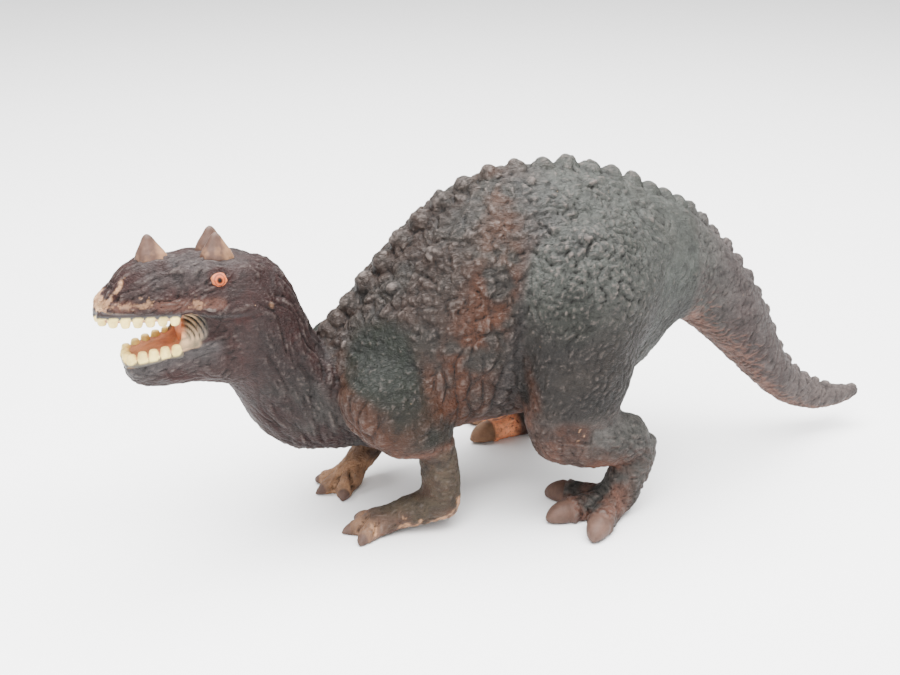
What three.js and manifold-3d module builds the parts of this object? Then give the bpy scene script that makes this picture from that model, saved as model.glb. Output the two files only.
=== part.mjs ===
// A toy dinosaur with a nose horn and two brow horns, standing on four feet.
// It is an assembly of thin hollow soft-vinyl mouldings. The torso is a shell with six sockets, and the
// head with its neck, the tail, the two arms and the two legs each carry a plug whose flange is pushed
// through a socket's wall and seats behind it. The rows of teeth, the horns and the eyes are pressed into
// recesses of the head. Nothing turns: every skin fold runs across its seam.
//
// Millimetres, +Z up. The head points to -X and the figure's left side faces -Y. Torso, head, tail and
// thighs are alike on both sides, but the right foot is turned out and the right elbow is raised. The
// drawing starts on the floor below the neck seam, and the finished group is moved so that its origin is
// on the floor below the middle of the whole figure.
import * as THREE from "three";
import { mergeVertices } from "three/addons/utils/BufferGeometryUtils.js";
import Module from "manifold-3d";

const wasm = await Module();
wasm.setup();

// Moulding
const WALL = 2.8;
const CLEARANCE = 0.3;

// Torso, between the middles of the neck seam and the tail seam
const TORSO_LENGTH = 130;
const TORSO_HEIGHT = 94.5;
const TORSO_WIDTH = 72;
const BELLY_HEIGHT = 24;

// Shoulder muscles, which are part of the torso
const SHOULDER_LENGTH = 40;
const SHOULDER_HEIGHT = 54;
const SHOULDER_THICKNESS = 27;
const SHOULDER_SPREAD = 25;

// Neck, from the seam to the nape
const NECK_REACH = 41;
const NECK_RISE = 52.6;
const NECK_WIDTH = 41;

// Head
const HEAD_LENGTH = 47;
const HEAD_HEIGHT = 46;
const HEAD_WIDTH = 31;

// Rows of teeth, each on a strip of gum
const GUM_RADIUS = 1.3;
const UPPER_TOOTH_HEIGHT = 3.6;
const LOWER_TOOTH_HEIGHT = 3.2;
const TOOTH_WIDTH = 3.2;
const TOOTH_PITCH = 3.7;

// Horns
const NOSE_HORN_LENGTH = 11;
const NOSE_HORN_WIDTH = 8;
const NOSE_HORN_HEIGHT = 8;
const BROW_HORN_LENGTH = 11;
const BROW_HORN_WIDTH = 6.6;
const BROW_HORN_HEIGHT = 7.6;
const HORN_SEAT = 1.5;

// Eyes
const EYE_RADIUS = 3.1;
const EYE_DEPTH = 1.8;
const EYE_DOME = 1.2;

// Tail
const TAIL_LENGTH = 89;
const TAIL_DROP = 69.5;
const TAIL_WIDTH = 40;

// Legs
const LEG_LENGTH = 55;
const LEG_HEIGHT = 108;
const THIGH_THICKNESS = 32;
const LEG_SPREAD = 38;
const HIP_FLOOR = 22;
const SHANK_RADIUS = 11;
const ANKLE_RADIUS = 7.2;
const TOE_LENGTH = 17.5;
const TOE_RADIUS = 5;
const TOE_FAN = THREE.MathUtils.degToRad(46);
const RIGHT_FOOT_TURN = THREE.MathUtils.degToRad(38);
const CLAW_LENGTH = 10.5;
const CLAW_RADIUS = 5.2;

// Arms
const ARM_HEIGHT = 30;
const ELBOW_SETBACK = 5;
const LEFT_ELBOW_HEIGHT = 10.5;
const RIGHT_ELBOW_HEIGHT = 21;
const ARM_REACH = 21.5;
const ARM_SPREAD = 27;
const LEFT_HAND_SPREAD = 22.5;
const RIGHT_HAND_SPREAD = 15.5;
const ARM_RADIUS = 7;
const PALM_RADIUS = 7;
const PALM_HEIGHT = 5;
const FINGER_LENGTH = 9;
const FINGER_RADIUS = 3.5;
const FINGER_FAN = THREE.MathUtils.degToRad(52);
const HAND_TURN = THREE.MathUtils.degToRad(14);
const NAIL_LENGTH = 4.5;
const NAIL_RADIUS = 2.7;

// Plugs and their sockets
const FLANGE_LIP = 2.2;
const FLANGE_THICKNESS = 2.6;
const NECK_PLUG_RADIUS = 13;
const TAIL_PLUG_RADIUS = 12;
const HIP_PLUG_RADIUS = 11;
const ARM_PLUG_RADIUS = 3.6;

// Scutes, the row of cones down the middle of the back
const SCUTE_PITCH = 6.4;
const SCUTE_RADIUS = 2.9;
const SCUTE_HEIGHT = 2.4;

// How far a sole reaches into the floor before it is cut flat
const SOLE_CUT = 0.8;

// How near two corners of a form are taken as one
const MERGE = 0.0003;

// Facets round a section
const TORSO_SIDES = 22;
const HEAD_SIDES = 18;
const JAW_SIDES = 12;
const TAIL_SIDES = 14;
const THIGH_SIDES = 16;
const LIMB_SIDES = 9;
const TOE_SIDES = 7;
const SMALL_SIDES = 6;
const HOLLOW_SIDES = 8;
const PLUG_SIDES = 10;
// Sections along a form
const TORSO_RINGS = 17;
const SHOULDER_RINGS = 8;
const NECK_RINGS = 11;
const SKULL_RINGS = 13;
const JAW_RINGS = 9;
const CHEEK_RINGS = 5;
const TAIL_RINGS = 16;
const THIGH_RINGS = 10;
const LIMB_RINGS = 5;
const GUM_RINGS = 13;

// Outlines. Each row is one cross-section: upper point (x, z), lower point (x, z), half width, and how
// high between the two points the section is widest. All are shares of the named sizes that it follows.
const TORSO_SHARES = [
  [-0.062, 0.435, 0.065, -0.005, 0.61, 0.54],
  [-0.023, 0.475, 0.108, -0.014, 0.73, 0.48],
  [0.031, 0.55, 0.154, -0.008, 0.84, 0.47],
  [0.108, 0.668, 0.215, 0.018, 0.91, 0.46],
  [0.192, 0.79, 0.277, 0.042, 0.95, 0.46],
  [0.285, 0.902, 0.346, 0.052, 0.98, 0.46],
  [0.4, 0.98, 0.446, 0.056, 1, 0.46],
  [0.523, 1.007, 0.538, 0.064, 1, 0.47],
  [0.646, 1, 0.638, 0.078, 0.97, 0.48],
  [0.762, 0.965, 0.746, 0.105, 0.9, 0.5],
  [0.869, 0.895, 0.846, 0.185, 0.79, 0.5],
  [0.954, 0.84, 0.923, 0.285, 0.67, 0.5],
  [1.027, 0.785, 0.981, 0.355, 0.56, 0.5],
];
const TAIL_SHARES = [
  [0.034, 0.3, -0.028, -0.3, 1, 0.5],
  [0.118, 0.2, 0.056, -0.35, 0.9, 0.5],
  [0.219, 0.08, 0.163, -0.46, 0.8, 0.5],
  [0.318, -0.065, 0.255, -0.572, 0.7, 0.5],
  [0.4, -0.215, 0.34, -0.675, 0.6, 0.5],
  [0.472, -0.385, 0.412, -0.765, 0.51, 0.5],
  [0.533, -0.56, 0.486, -0.848, 0.43, 0.5],
  [0.61, -0.695, 0.565, -0.92, 0.36, 0.5],
  [0.691, -0.777, 0.663, -0.976, 0.29, 0.5],
  [0.781, -0.845, 0.77, -1.005, 0.24, 0.5],
  [0.871, -0.875, 0.874, -1.0, 0.19, 0.5],
  [0.938, -0.885, 0.949, -0.981, 0.14, 0.5],
  [0.985, -0.91, 0.99, -0.95, 0.06, 0.5],
];
const NECK_SHARES = [
  [-0.19, 0.37, 0.2, -0.385, 1, 0.5],
  [-0.21, 0.41, -0.03, -0.39, 0.95, 0.5],
  [-0.24, 0.475, -0.27, -0.38, 0.9, 0.5],
  [-0.27, 0.56, -0.48, -0.34, 0.86, 0.5],
  [-0.31, 0.65, -0.64, -0.255, 0.83, 0.5],
  [-0.365, 0.765, -0.755, -0.15, 0.81, 0.5],
  [-0.445, 0.875, -0.845, -0.02, 0.79, 0.5],
  [-0.555, 0.96, -0.91, 0.1, 0.78, 0.5],
  [-0.695, 1.01, -1, 0.19, 0.76, 0.5],
  [-0.83, 0.995, -1.07, 0.27, 0.7, 0.5],
];
const SKULL_SHARES = [
  [0.25, -0.14, 0.09, -0.76, 0.97, 0.47],
  [0.117, -0.06, 0, -0.696, 0.99, 0.45],
  [-0.021, -0.025, -0.128, -0.6, 0.98, 0.42],
  [-0.17, -0.008, -0.234, -0.49, 0.94, 0.34],
  [-0.319, 0, -0.362, -0.425, 0.86, 0.26],
  [-0.489, -0.006, -0.511, -0.41, 0.75, 0.21],
  [-0.66, -0.042, -0.67, -0.405, 0.64, 0.2],
  [-0.798, -0.118, -0.809, -0.4, 0.53, 0.22],
  [-0.915, -0.21, -0.919, -0.39, 0.39, 0.3],
  [-0.979, -0.276, -0.979, -0.36, 0.2, 0.45],
];
const JAW_SHARES = [
  [0.12, -0.62, 0.06, -1.05, 0.93, 0.5],
  [-0.04, -0.61, -0.085, -1.02, 0.93, 0.5],
  [-0.22, -0.61, -0.235, -0.975, 0.87, 0.55],
  [-0.36, -0.622, -0.37, -0.965, 0.79, 0.62],
  [-0.5, -0.645, -0.505, -0.972, 0.7, 0.66],
  [-0.63, -0.675, -0.64, -0.972, 0.6, 0.68],
  [-0.745, -0.708, -0.735, -0.94, 0.47, 0.66],
  [-0.81, -0.74, -0.8, -0.865, 0.3, 0.5],
];
const CHEEK_SHARES = [
  [0.05, -0.4, 0.05, -0.85, 0.9, 0.5],
  [-0.24, -0.42, -0.24, -0.83, 0.86, 0.5],
  [-0.33, -0.43, -0.34, -0.8, 0.78, 0.5],
  [-0.43, -0.43, -0.46, -0.76, 0.64, 0.5],
];
const THROAT_SHARES = [
  [-0.52, -0.44, -0.52, -0.66, 0.6, 0.5],
  [-0.42, -0.45, -0.42, -0.67, 0.54, 0.5],
  [-0.27, -0.49, -0.27, -0.68, 0.48, 0.5],
  [-0.14, -0.56, -0.14, -0.68, 0.3, 0.5],
];
// Rows of the shoulder and the thigh: front point (x, z), back point (x, z), half thickness, and the
// middle's distance from the mid-plane as a share of the spread.
const SHOULDER_SHARES = [
  [-0.26, 0.7, 0.09, 0.7, 0.4, 0.72],
  [-0.44, 0.61, 0.28, 0.61, 0.76, 0.86],
  [-0.54, 0.49, 0.36, 0.49, 0.94, 0.95],
  [-0.53, 0.35, 0.39, 0.35, 1, 1],
  [-0.4, 0.2, 0.4, 0.2, 0.95, 1],
  [-0.24, 0.09, 0.45, 0.13, 0.82, 1],
  [-0.08, 0.02, 0.47, 0.1, 0.64, 1],
];
const THIGH_SHARES = [
  [-0.18, 0.972, 0.16, 0.972, 0.3, 0.72],
  [-0.4, 0.907, 0.4, 0.917, 0.7, 0.76],
  [-0.5, 0.796, 0.5, 0.815, 0.97, 0.8],
  [-0.51, 0.694, 0.48, 0.713, 1, 0.84],
  [-0.51, 0.583, 0.36, 0.602, 0.97, 0.88],
  [-0.5, 0.472, 0.25, 0.49, 0.9, 0.92],
  [-0.49, 0.38, 0.14, 0.37, 0.8, 0.95],
  [-0.46, 0.31, 0.05, 0.27, 0.68, 0.97],
  [-0.38, 0.235, -0.01, 0.2, 0.44, 0.98],
];
// Middles of the round limbs (x, z) and their radii
const SHANK_SHARES = [
  [-0.3, 0.305, 0.5],
  [-0.14, 0.295, 1],
  [0.04, 0.28, 1],
  [0.18, 0.268, 0.88],
  [0.3, 0.255, 0.72],
];
const ANKLE_SHARES = [
  [0.3, 0.275, 0.9],
  [0.283, 0.19, 1],
  [0.213, 0.12, 1.02],
  [0.155, 0.055, 1],
];
// The upper arm is drawn from the elbow's place on the floor: middle (x, z) and radius
const UPPER_ARM_SHARES = [
  [-0.16, 1.23, 0.98],
  [-0.1, 1.03, 0.98],
  [-0.03, 0.8, 1],
  [0, 0.5, 1],
];
// The forearm: how far along from the elbow to the hand, and radius
const FOREARM_SHARES = [
  [-0.04, 1],
  [0.4, 0.86],
  [0.75, 0.73],
  [1, 0.7],
];
// A toe or finger: distance along it, height and thickness as shares of its length and radius. A claw
// likewise, from where it leaves the toe.
const DIGIT_SHARES = [
  [0, 1, 1],
  [0.5, 1, 1.06],
  [1, 0.85, 0.96],
];
const CLAW_SHARES = [
  [-0.14, 0.8, 0.9],
  [0.3, 0.84, 1],
  [0.7, 0.62, 0.74],
  [1, 0.36, 0.26],
];
// A horn: height, how far it lies towards the head's front, length and width
const HORN_SHARES = [
  [0, 0, 1, 1],
  [0.25, 0.03, 0.84, 0.84],
  [0.6, 0.08, 0.5, 0.5],
  [0.88, 0.12, 0.26, 0.26],
  [1, 0.13, 0.08, 0.08],
];
const TOOTH_SHARES = [
  [0, 0],
  [0.75, 0],
  [1, 0.4],
  [0.7, 1],
  [0, 1],
];

// An eye's domed front: radius and rise of its dome
const EYE_DOME_SHARES = [
  [1, 0],
  [0.87, 0.5],
  [0.5, 0.87],
  [0, 1],
];

// Places, as shares of the torso's length and height, of the neck, and of the leg's height
const SHOULDER_PLACE_SHARES = [0.112, 0.04];
const HIP_PLACE_SHARE = 0.625;
const HEAD_PLACE_SHARES = [-0.861, 1.063];
const HIP_PLUG_HEIGHT_SHARE = 0.66;
// Places on the skull, as a share of its row of sections, and angles down from its top
const NOSE_HORN_SHARE = 0.604;
const BROW_HORN_SHARE = 0.3;
const BROW_HORN_ANGLE = THREE.MathUtils.degToRad(16);
const EYE_SHARE = 0.31;
const EYE_ANGLE = THREE.MathUtils.degToRad(52);
const UPPER_GUM_SHARES = [0.5, 0.93];
const UPPER_GUM_ANGLE = THREE.MathUtils.degToRad(122);
const LOWER_GUM_SHARES = [0.5, 0.93];
const LOWER_GUM_ANGLE = THREE.MathUtils.degToRad(56);
const GUM_STEPS = 6;

// Where a row of scutes starts and ends along its form, and how large they are at those ends
const TORSO_SCUTE_SHARES = [0.05, 0.99];
const TORSO_SCUTE_SIZE_SHARES = [1, 1];
const TAIL_SCUTE_SHARES = [0.04, 0.8];
const TAIL_SCUTE_SIZE_SHARES = [0.7, 0.2];
// A scute's profile, as shares of its radius and height
const SCUTE_SHARES = [
  [1, 0],
  [0.33, 1],
  [0, 1],
];

// One cross-section in space: a middle, an upper and a sideways direction, and its reach along each.
function section(upper, lower, half, widest, offsetY = 0) {
  const top = new THREE.Vector3(upper[0], offsetY, upper[1]);
  const bottom = new THREE.Vector3(lower[0], offsetY, lower[1]);
  const centre = bottom.clone().lerp(top, widest);
  return {
    centre,
    up: top.clone().sub(bottom).normalize(),
    side: new THREE.Vector3(0, 1, 0),
    above: top.distanceTo(centre),
    below: centre.distanceTo(bottom),
    half,
  };
}

// The section at a share of a row of sections, between its two neighbours.
function between(sections, share) {
  const place = share * (sections.length - 1);
  const a = sections[Math.min(Math.floor(place), sections.length - 2)];
  const b = sections[Math.min(Math.floor(place), sections.length - 2) + 1];
  const t = place - Math.min(Math.floor(place), sections.length - 2);
  const mix = (key) => THREE.MathUtils.lerp(a[key], b[key], t);
  return {
    centre: a.centre.clone().lerp(b.centre, t),
    up: a.up.clone().lerp(b.up, t).normalize(),
    side: a.side.clone().lerp(b.side, t).normalize(),
    above: mix("above"),
    below: mix("below"),
    half: mix("half"),
  };
}

// A number of sections on smooth curves through the given ones' middles, directions and reaches.
function refine(sections, rings) {
  const curve = (pick) => new THREE.CatmullRomCurve3(sections.map(pick), false, "centripetal");
  const centres = curve((s) => s.centre);
  const ups = curve((s) => s.up);
  const sides = curve((s) => s.side);
  const reaches = curve((s) => new THREE.Vector3(s.above, s.below, s.half));
  return Array.from({ length: rings }, (_, i) => {
    const share = i / (rings - 1);
    const reach = reaches.getPoint(share);
    return {
      centre: centres.getPoint(share),
      up: ups.getPoint(share).normalize(),
      side: sides.getPoint(share).normalize(),
      above: reach.x,
      below: reach.y,
      half: reach.z,
    };
  });
}

// The same form with its skin moved out by a distance, or in if it is negative, ends included.
function offsetSections(sections, distance) {
  if (distance === 0) return sections;
  const grown = sections.map((s) => ({
    ...s,
    centre: s.centre.clone(),
    above: s.above + distance,
    below: s.below + distance,
    half: s.half + distance,
  }));
  const ends = [
    [0, 1],
    [sections.length - 1, sections.length - 2],
  ];
  for (const [end, next] of ends) {
    const out = sections[end].centre.clone().sub(sections[next].centre).normalize();
    const limit = sections[end].centre.clone().addScaledVector(out, distance);
    if (distance > 0) {
      grown[end].centre.copy(limit);
    } else {
      for (const s of grown) {
        const past = s.centre.clone().sub(limit).dot(out);
        if (past > 0) s.centre.addScaledVector(out, -past);
      }
    }
  }
  return grown.filter((s, i) => {
    const stacked = i > 0 && s.centre.distanceTo(grown[i - 1].centre) < CLEARANCE;
    return Math.min(s.above, s.below, s.half) > CLEARANCE && !stacked;
  });
}

// A point of a section's rim and the way straight out of the skin there, by the angle from its top.
function rim(s, angle) {
  const rise = Math.cos(angle);
  const reach = rise > 0 ? s.above : s.below;
  const point = s.centre
    .clone()
    .addScaledVector(s.up, rise * reach)
    .addScaledVector(s.side, -Math.sin(angle) * s.half);
  const out = s.up
    .clone()
    .multiplyScalar(rise / reach)
    .addScaledVector(s.side, -Math.sin(angle) / s.half)
    .normalize();
  return { point, out };
}

// A closed skin over a row of sections, with flat ends.
function loft(sections, sides) {
  const positions = [];
  const indices = [];
  for (const s of sections) {
    for (let i = 0; i < sides; i++) {
      positions.push(...rim(s, (2 * Math.PI * i) / sides).point.toArray());
    }
  }
  for (let ring = 0; ring < sections.length - 1; ring++) {
    for (let i = 0; i < sides; i++) {
      const a = ring * sides + i;
      const b = ring * sides + ((i + 1) % sides);
      indices.push(a, b, b + sides, a, b + sides, a + sides);
    }
  }
  for (const ring of [0, sections.length - 1]) {
    const hub = positions.length / 3;
    positions.push(...sections[ring].centre.toArray());
    for (let i = 0; i < sides; i++) {
      const a = ring * sides + i;
      const b = ring * sides + ((i + 1) % sides);
      indices.push(hub, ...(ring === 0 ? [b, a] : [a, b]));
    }
  }
  const geometry = new THREE.BufferGeometry();
  geometry.setAttribute("position", new THREE.Float32BufferAttribute(positions, 3));
  geometry.setIndex(indices);
  return solid(geometry);
}

// A closed three.js geometry as a solid that can be joined and cut. A skin that came out inside out is
// turned round.
function solid(geometry) {
  const bare = geometry.clone();
  bare.deleteAttribute("normal");
  bare.deleteAttribute("uv");
  const merged = mergeVertices(bare, MERGE);
  const corners = Array.from(merged.index.array);
  const make = (order) => {
    const triVerts = new Uint32Array(order);
    const vertProperties = merged.attributes.position.array;
    return new wasm.Manifold(new wasm.Mesh({ numProp: 3, vertProperties, triVerts }));
  };
  const made = make(corners);
  return made.volume() > 0 ? made : make(corners.reverse());
}

// The space inside a form's wall.
const hollowOf = (rows) => loft(offsetSections(rows, -WALL), HOLLOW_SIDES);
const joinAll = (solids) => solids.reduce((sum, s) => sum.add(s));
const mirrored = (s) => s.mirror([0, 1, 0]);
const bothSides = (s) => s.add(mirrored(s));

// A round limb through points, with its own radius at each.
function limb(points, radii, sides, offset = 0, rings = LIMB_RINGS) {
  const sections = points.map((point, i) => {
    const ahead = points[Math.min(i + 1, points.length - 1)];
    const behind = points[Math.max(i - 1, 0)];
    const along = ahead.clone().sub(behind).normalize();
    const side = new THREE.Vector3(0, 1, 0).addScaledVector(along, -along.y).normalize();
    const up = along.clone().cross(side);
    return { centre: point, up, side, above: radii[i], below: radii[i], half: radii[i] };
  });
  return loft(offsetSections(refine(sections, rings), offset), sides);
}

function ball(place, radius, height = radius) {
  const geometry = new THREE.SphereGeometry(1, LIMB_SIDES, TOE_SIDES - 2);
  geometry.rotateX(Math.PI / 2);
  geometry.scale(radius, radius, height);
  geometry.translate(...place.toArray());
  return solid(geometry);
}

// A turned solid about an axis through a place: each profile point is (radius, distance along the axis).
function turned(profile, place, axis, sides) {
  const points = profile.map(([radius, along]) => new THREE.Vector2(radius, along));
  const geometry = new THREE.LatheGeometry(points, sides);
  geometry.applyQuaternion(new THREE.Quaternion().setFromUnitVectors(new THREE.Vector3(0, 1, 0), axis));
  geometry.translate(...place.toArray());
  return solid(geometry);
}

// Everything on one side of a plane, as a block larger than the figure.
function beyond(place, towards) {
  const size = 2 * (TORSO_LENGTH + TAIL_LENGTH + NECK_REACH + HEAD_LENGTH + LEG_HEIGHT);
  const box = new THREE.BoxGeometry(size, size, size);
  box.translate(0, size / 2, 0);
  box.applyQuaternion(new THREE.Quaternion().setFromUnitVectors(new THREE.Vector3(0, 1, 0), towards));
  box.translate(...place.toArray());
  return solid(box);
}

// A plug stands on its piece's seam face, with a neck through the socket's wall and a tapered flange
// behind it. With a gap it is the socket's own hollow.
function plug(face, inward, radius, gap = 0) {
  const flangeStart = WALL + 2 * CLEARANCE;
  const end = flangeStart + FLANGE_THICKNESS;
  const profile = [
    [0, -WALL],
    [radius + gap, -WALL],
    [radius + gap, flangeStart - gap],
    [radius + FLANGE_LIP + gap, flangeStart - gap],
    [radius + FLANGE_LIP + gap, flangeStart + FLANGE_THICKNESS / 2],
    [radius + gap, end + gap],
    [0, end + gap],
  ];
  return turned(profile, face, inward, PLUG_SIDES);
}

// The bore that opens a hollow piece through its plug.
function bore(face, inward, radius) {
  const end = WALL + 2 * CLEARANCE + FLANGE_THICKNESS;
  const profile = [
    [0, -2 * WALL],
    [radius - WALL, -2 * WALL],
    [radius - WALL, end + WALL],
    [0, end + WALL],
  ];
  return turned(profile, face, inward, PLUG_SIDES);
}

// A row of cones along the top of a form, between two shares of it and from one size to another.
function scutes(sections, [from, to], [first, last], length) {
  const count = Math.floor(((to - from) * length) / SCUTE_PITCH);
  return Array.from({ length: count }, (_, i) => {
    const along = (i + 1 / 2) / count;
    const { point, out } = rim(between(sections, THREE.MathUtils.lerp(from, to, along)), 0);
    const size = THREE.MathUtils.lerp(first, last, along);
    const cone = SCUTE_SHARES.map(([radius, rise]) => [
      radius * size * SCUTE_RADIUS,
      rise * size * SCUTE_HEIGHT,
    ]);
    return turned([[0, -WALL / 2], ...cone], point, out, SMALL_SIDES);
  });
}

// The torso: a body that swells from the neck seam to the hips and narrows to the tail seam.
const atTorso = (x, z) => [x * TORSO_LENGTH, BELLY_HEIGHT + z * TORSO_HEIGHT];
const torsoRows = TORSO_SHARES.map(([ux, uz, lx, lz, half, widest]) =>
  section(atTorso(ux, uz), atTorso(lx, lz), (half * TORSO_WIDTH) / 2, widest),
);
const torsoSections = refine(torsoRows, TORSO_RINGS);

// The middle of a seam and the way square through it, out of the torso.
const neckSeam = torsoSections[0].centre;
const neckOut = torsoSections[0].up.clone().cross(torsoSections[0].side);
const tailSeam = torsoSections.at(-1).centre;
const tailOut = torsoSections.at(-1).side.clone().cross(torsoSections.at(-1).up);
const seamFace = (seam, out) => seam.clone().addScaledVector(out, CLEARANCE);

// The left shoulder muscle, which swells out of the torso and ends in a sleeve above the arm.
const shoulderBase = atTorso(...SHOULDER_PLACE_SHARES);
const atShoulder = (x, z) => [shoulderBase[0] + x * SHOULDER_LENGTH, shoulderBase[1] + z * SHOULDER_HEIGHT];
const shoulderRows = SHOULDER_SHARES.map(([fx, fz, bx, bz, half, spread]) =>
  section(
    atShoulder(fx, fz),
    atShoulder(bx, bz),
    (half * SHOULDER_THICKNESS) / 2,
    1 / 2,
    -spread * SHOULDER_SPREAD,
  ),
);
const shoulderSections = refine(shoulderRows, SHOULDER_RINGS);
const shoulders = (offset) => bothSides(loft(offsetSections(shoulderSections, offset), THIGH_SIDES));
const armSeam = shoulderSections.at(-1).centre;
const armOut = shoulderSections.at(-1).up.clone().cross(shoulderSections.at(-1).side);

// The left leg, drawn from the hip's place on the floor.
const hipX = HIP_PLACE_SHARE * TORSO_LENGTH;
const atLeg = (x, z) => [hipX + x * LEG_LENGTH, z * LEG_HEIGHT];
const legPoint = (x, z) => new THREE.Vector3(hipX + x * LEG_LENGTH, -LEG_SPREAD, z * LEG_HEIGHT);
const thighRows = THIGH_SHARES.map(([fx, fz, bx, bz, half, spread]) =>
  section(atLeg(fx, fz), atLeg(bx, bz), (half * THIGH_THICKNESS) / 2, 1 / 2, -spread * LEG_SPREAD),
);
const legPart = (shares, radius, offset = 0, rings = LIMB_RINGS) =>
  limb(
    shares.map(([x, z]) => legPoint(x, z)),
    shares.map(([, , thickness]) => thickness * radius),
    LIMB_SIDES,
    offset,
    rings,
  );
const innerSide = (offset) => beyond(new THREE.Vector3(0, offset - HIP_FLOOR, 0), new THREE.Vector3(0, 1, 0));
// Thigh and shank with the flat inner side that stands against the torso, grown or shrunk by an offset.
// A plainer one serves inside a wall.
const upperLeg = (offset, plain = false) => {
  const sections = plain ? thighRows : refine(thighRows, THIGH_RINGS);
  return loft(offsetSections(sections, offset), plain ? HOLLOW_SIDES : THIGH_SIDES)
    .add(legPart(SHANK_SHARES, SHANK_RADIUS, offset, plain ? SHANK_SHARES.length : LIMB_RINGS))
    .subtract(innerSide(offset));
};
const hipFace = new THREE.Vector3(hipX, -HIP_FLOOR, HIP_PLUG_HEIGHT_SHARE * LEG_HEIGHT);
const hipInward = new THREE.Vector3(0, 1, 0);

const floorCut = beyond(new THREE.Vector3(0, 0, 0), new THREE.Vector3(0, 0, -1));

// A toe or finger that lies on the floor, with its claw, from a hub at an angle out from straight ahead.
function digit(hub, angle, length, radius, clawLength, clawRadius) {
  const ahead = new THREE.Vector3(-Math.cos(angle), Math.sin(angle), 0);
  const row = (shares, start, span, thickness) => {
    const points = shares.map(([along, height]) => {
      const above = new THREE.Vector3(hub.x, hub.y, height * thickness - SOLE_CUT);
      return above.addScaledVector(ahead, start + along * span);
    });
    const radii = shares.map(([, , share]) => share * thickness);
    return limb(points, radii, TOE_SIDES, 0, points.length);
  };
  return row(DIGIT_SHARES, 0, length, radius).add(row(CLAW_SHARES, length, clawLength, clawRadius));
}

// A leg, drawn as the left one, with its foot turned outwards by an angle.
function makeLeg(footTurn) {
  const hub = legPoint(...ANKLE_SHARES.at(-1));
  const toes = [-TOE_FAN, 0, TOE_FAN].map((angle) =>
    digit(hub, angle - footTurn, TOE_LENGTH, TOE_RADIUS, CLAW_LENGTH, CLAW_RADIUS),
  );
  const heel = ball(new THREE.Vector3(hub.x, hub.y, ANKLE_RADIUS - SOLE_CUT), ANKLE_RADIUS);
  return joinAll([upperLeg(0), legPart(ANKLE_SHARES, ANKLE_RADIUS), heel, ...toes])
    .subtract(floorCut)
    .subtract(upperLeg(-WALL, true))
    .add(plug(hipFace, hipInward, HIP_PLUG_RADIUS))
    .subtract(bore(hipFace, hipInward, HIP_PLUG_RADIUS));
}

// An arm, drawn as the left one: upper arm down from the sleeve to the elbow, forearm forward to the
// hand on the floor.
function makeArm(elbowHeight, handSpread) {
  const elbow = new THREE.Vector3(armSeam.x + ELBOW_SETBACK, -ARM_SPREAD, elbowHeight);
  const hub = new THREE.Vector3(elbow.x - ARM_REACH, -handSpread, PALM_HEIGHT - SOLE_CUT);
  const upper = limb(
    UPPER_ARM_SHARES.slice(0, -1)
      .map(([x, z]) => new THREE.Vector3(elbow.x + x * ARM_REACH, -ARM_SPREAD, z * ARM_HEIGHT))
      .concat([elbow]),
    UPPER_ARM_SHARES.map(([, , thickness]) => thickness * ARM_RADIUS),
    LIMB_SIDES,
  );
  const fore = limb(
    FOREARM_SHARES.map(([along]) => elbow.clone().lerp(hub, along)),
    FOREARM_SHARES.map(([, thickness]) => thickness * ARM_RADIUS),
    LIMB_SIDES,
  );
  const fingers = [-FINGER_FAN, 0, FINGER_FAN].map((angle) =>
    digit(hub, HAND_TURN + angle, FINGER_LENGTH, FINGER_RADIUS, NAIL_LENGTH, NAIL_RADIUS),
  );
  const face = seamFace(armSeam, armOut);
  const inward = armOut.clone().negate();
  return joinAll([upper, fore, ball(elbow, ARM_RADIUS), ball(hub, PALM_RADIUS, PALM_HEIGHT), ...fingers])
    .subtract(floorCut)
    .subtract(beyond(face, inward))
    .add(plug(face, inward, ARM_PLUG_RADIUS));
}

// The tail, from its seam with the torso to the tip.
const atTail = (x, z) => [tailSeam.x + x * TAIL_LENGTH, tailSeam.z + z * TAIL_DROP];
const tailRows = TAIL_SHARES.map(([ux, uz, lx, lz, half, widest]) =>
  section(atTail(ux, uz), atTail(lx, lz), (half * TAIL_WIDTH) / 2, widest),
);
const tailSections = refine(tailRows, TAIL_RINGS);

function makeTail() {
  const face = seamFace(tailSeam, tailOut);
  const inward = tailOut.clone().negate();
  const outer = joinAll([
    loft(tailSections, TAIL_SIDES),
    ...scutes(tailSections, TAIL_SCUTE_SHARES, TAIL_SCUTE_SIZE_SHARES, TAIL_LENGTH + TAIL_DROP / 2),
  ]);
  return outer
    .subtract(beyond(face, inward))
    .subtract(hollowOf(tailRows))
    .add(plug(face, inward, TAIL_PLUG_RADIUS))
    .subtract(bore(face, inward, TAIL_PLUG_RADIUS));
}

// The head and its neck: neck, skull, lower jaw and the cheeks that join the jaws.
const atNeck = (x, z) => [neckSeam.x + x * NECK_REACH, neckSeam.z + z * NECK_RISE];
const neckRows = NECK_SHARES.map(([ux, uz, lx, lz, half, widest]) =>
  section(atNeck(ux, uz), atNeck(lx, lz), (half * NECK_WIDTH) / 2, widest),
);
const headPlace = atNeck(...HEAD_PLACE_SHARES);
const atHead = (x, z) => [headPlace[0] + x * HEAD_LENGTH, headPlace[1] + z * HEAD_HEIGHT];
const headRows = (shares) =>
  shares.map(([ux, uz, lx, lz, half, widest]) =>
    section(atHead(ux, uz), atHead(lx, lz), (half * HEAD_WIDTH) / 2, widest),
  );
const skullRows = headRows(SKULL_SHARES);
const jawRows = headRows(JAW_SHARES);
const skullSections = refine(skullRows, SKULL_RINGS);
const jawSections = refine(jawRows, JAW_RINGS);

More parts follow.
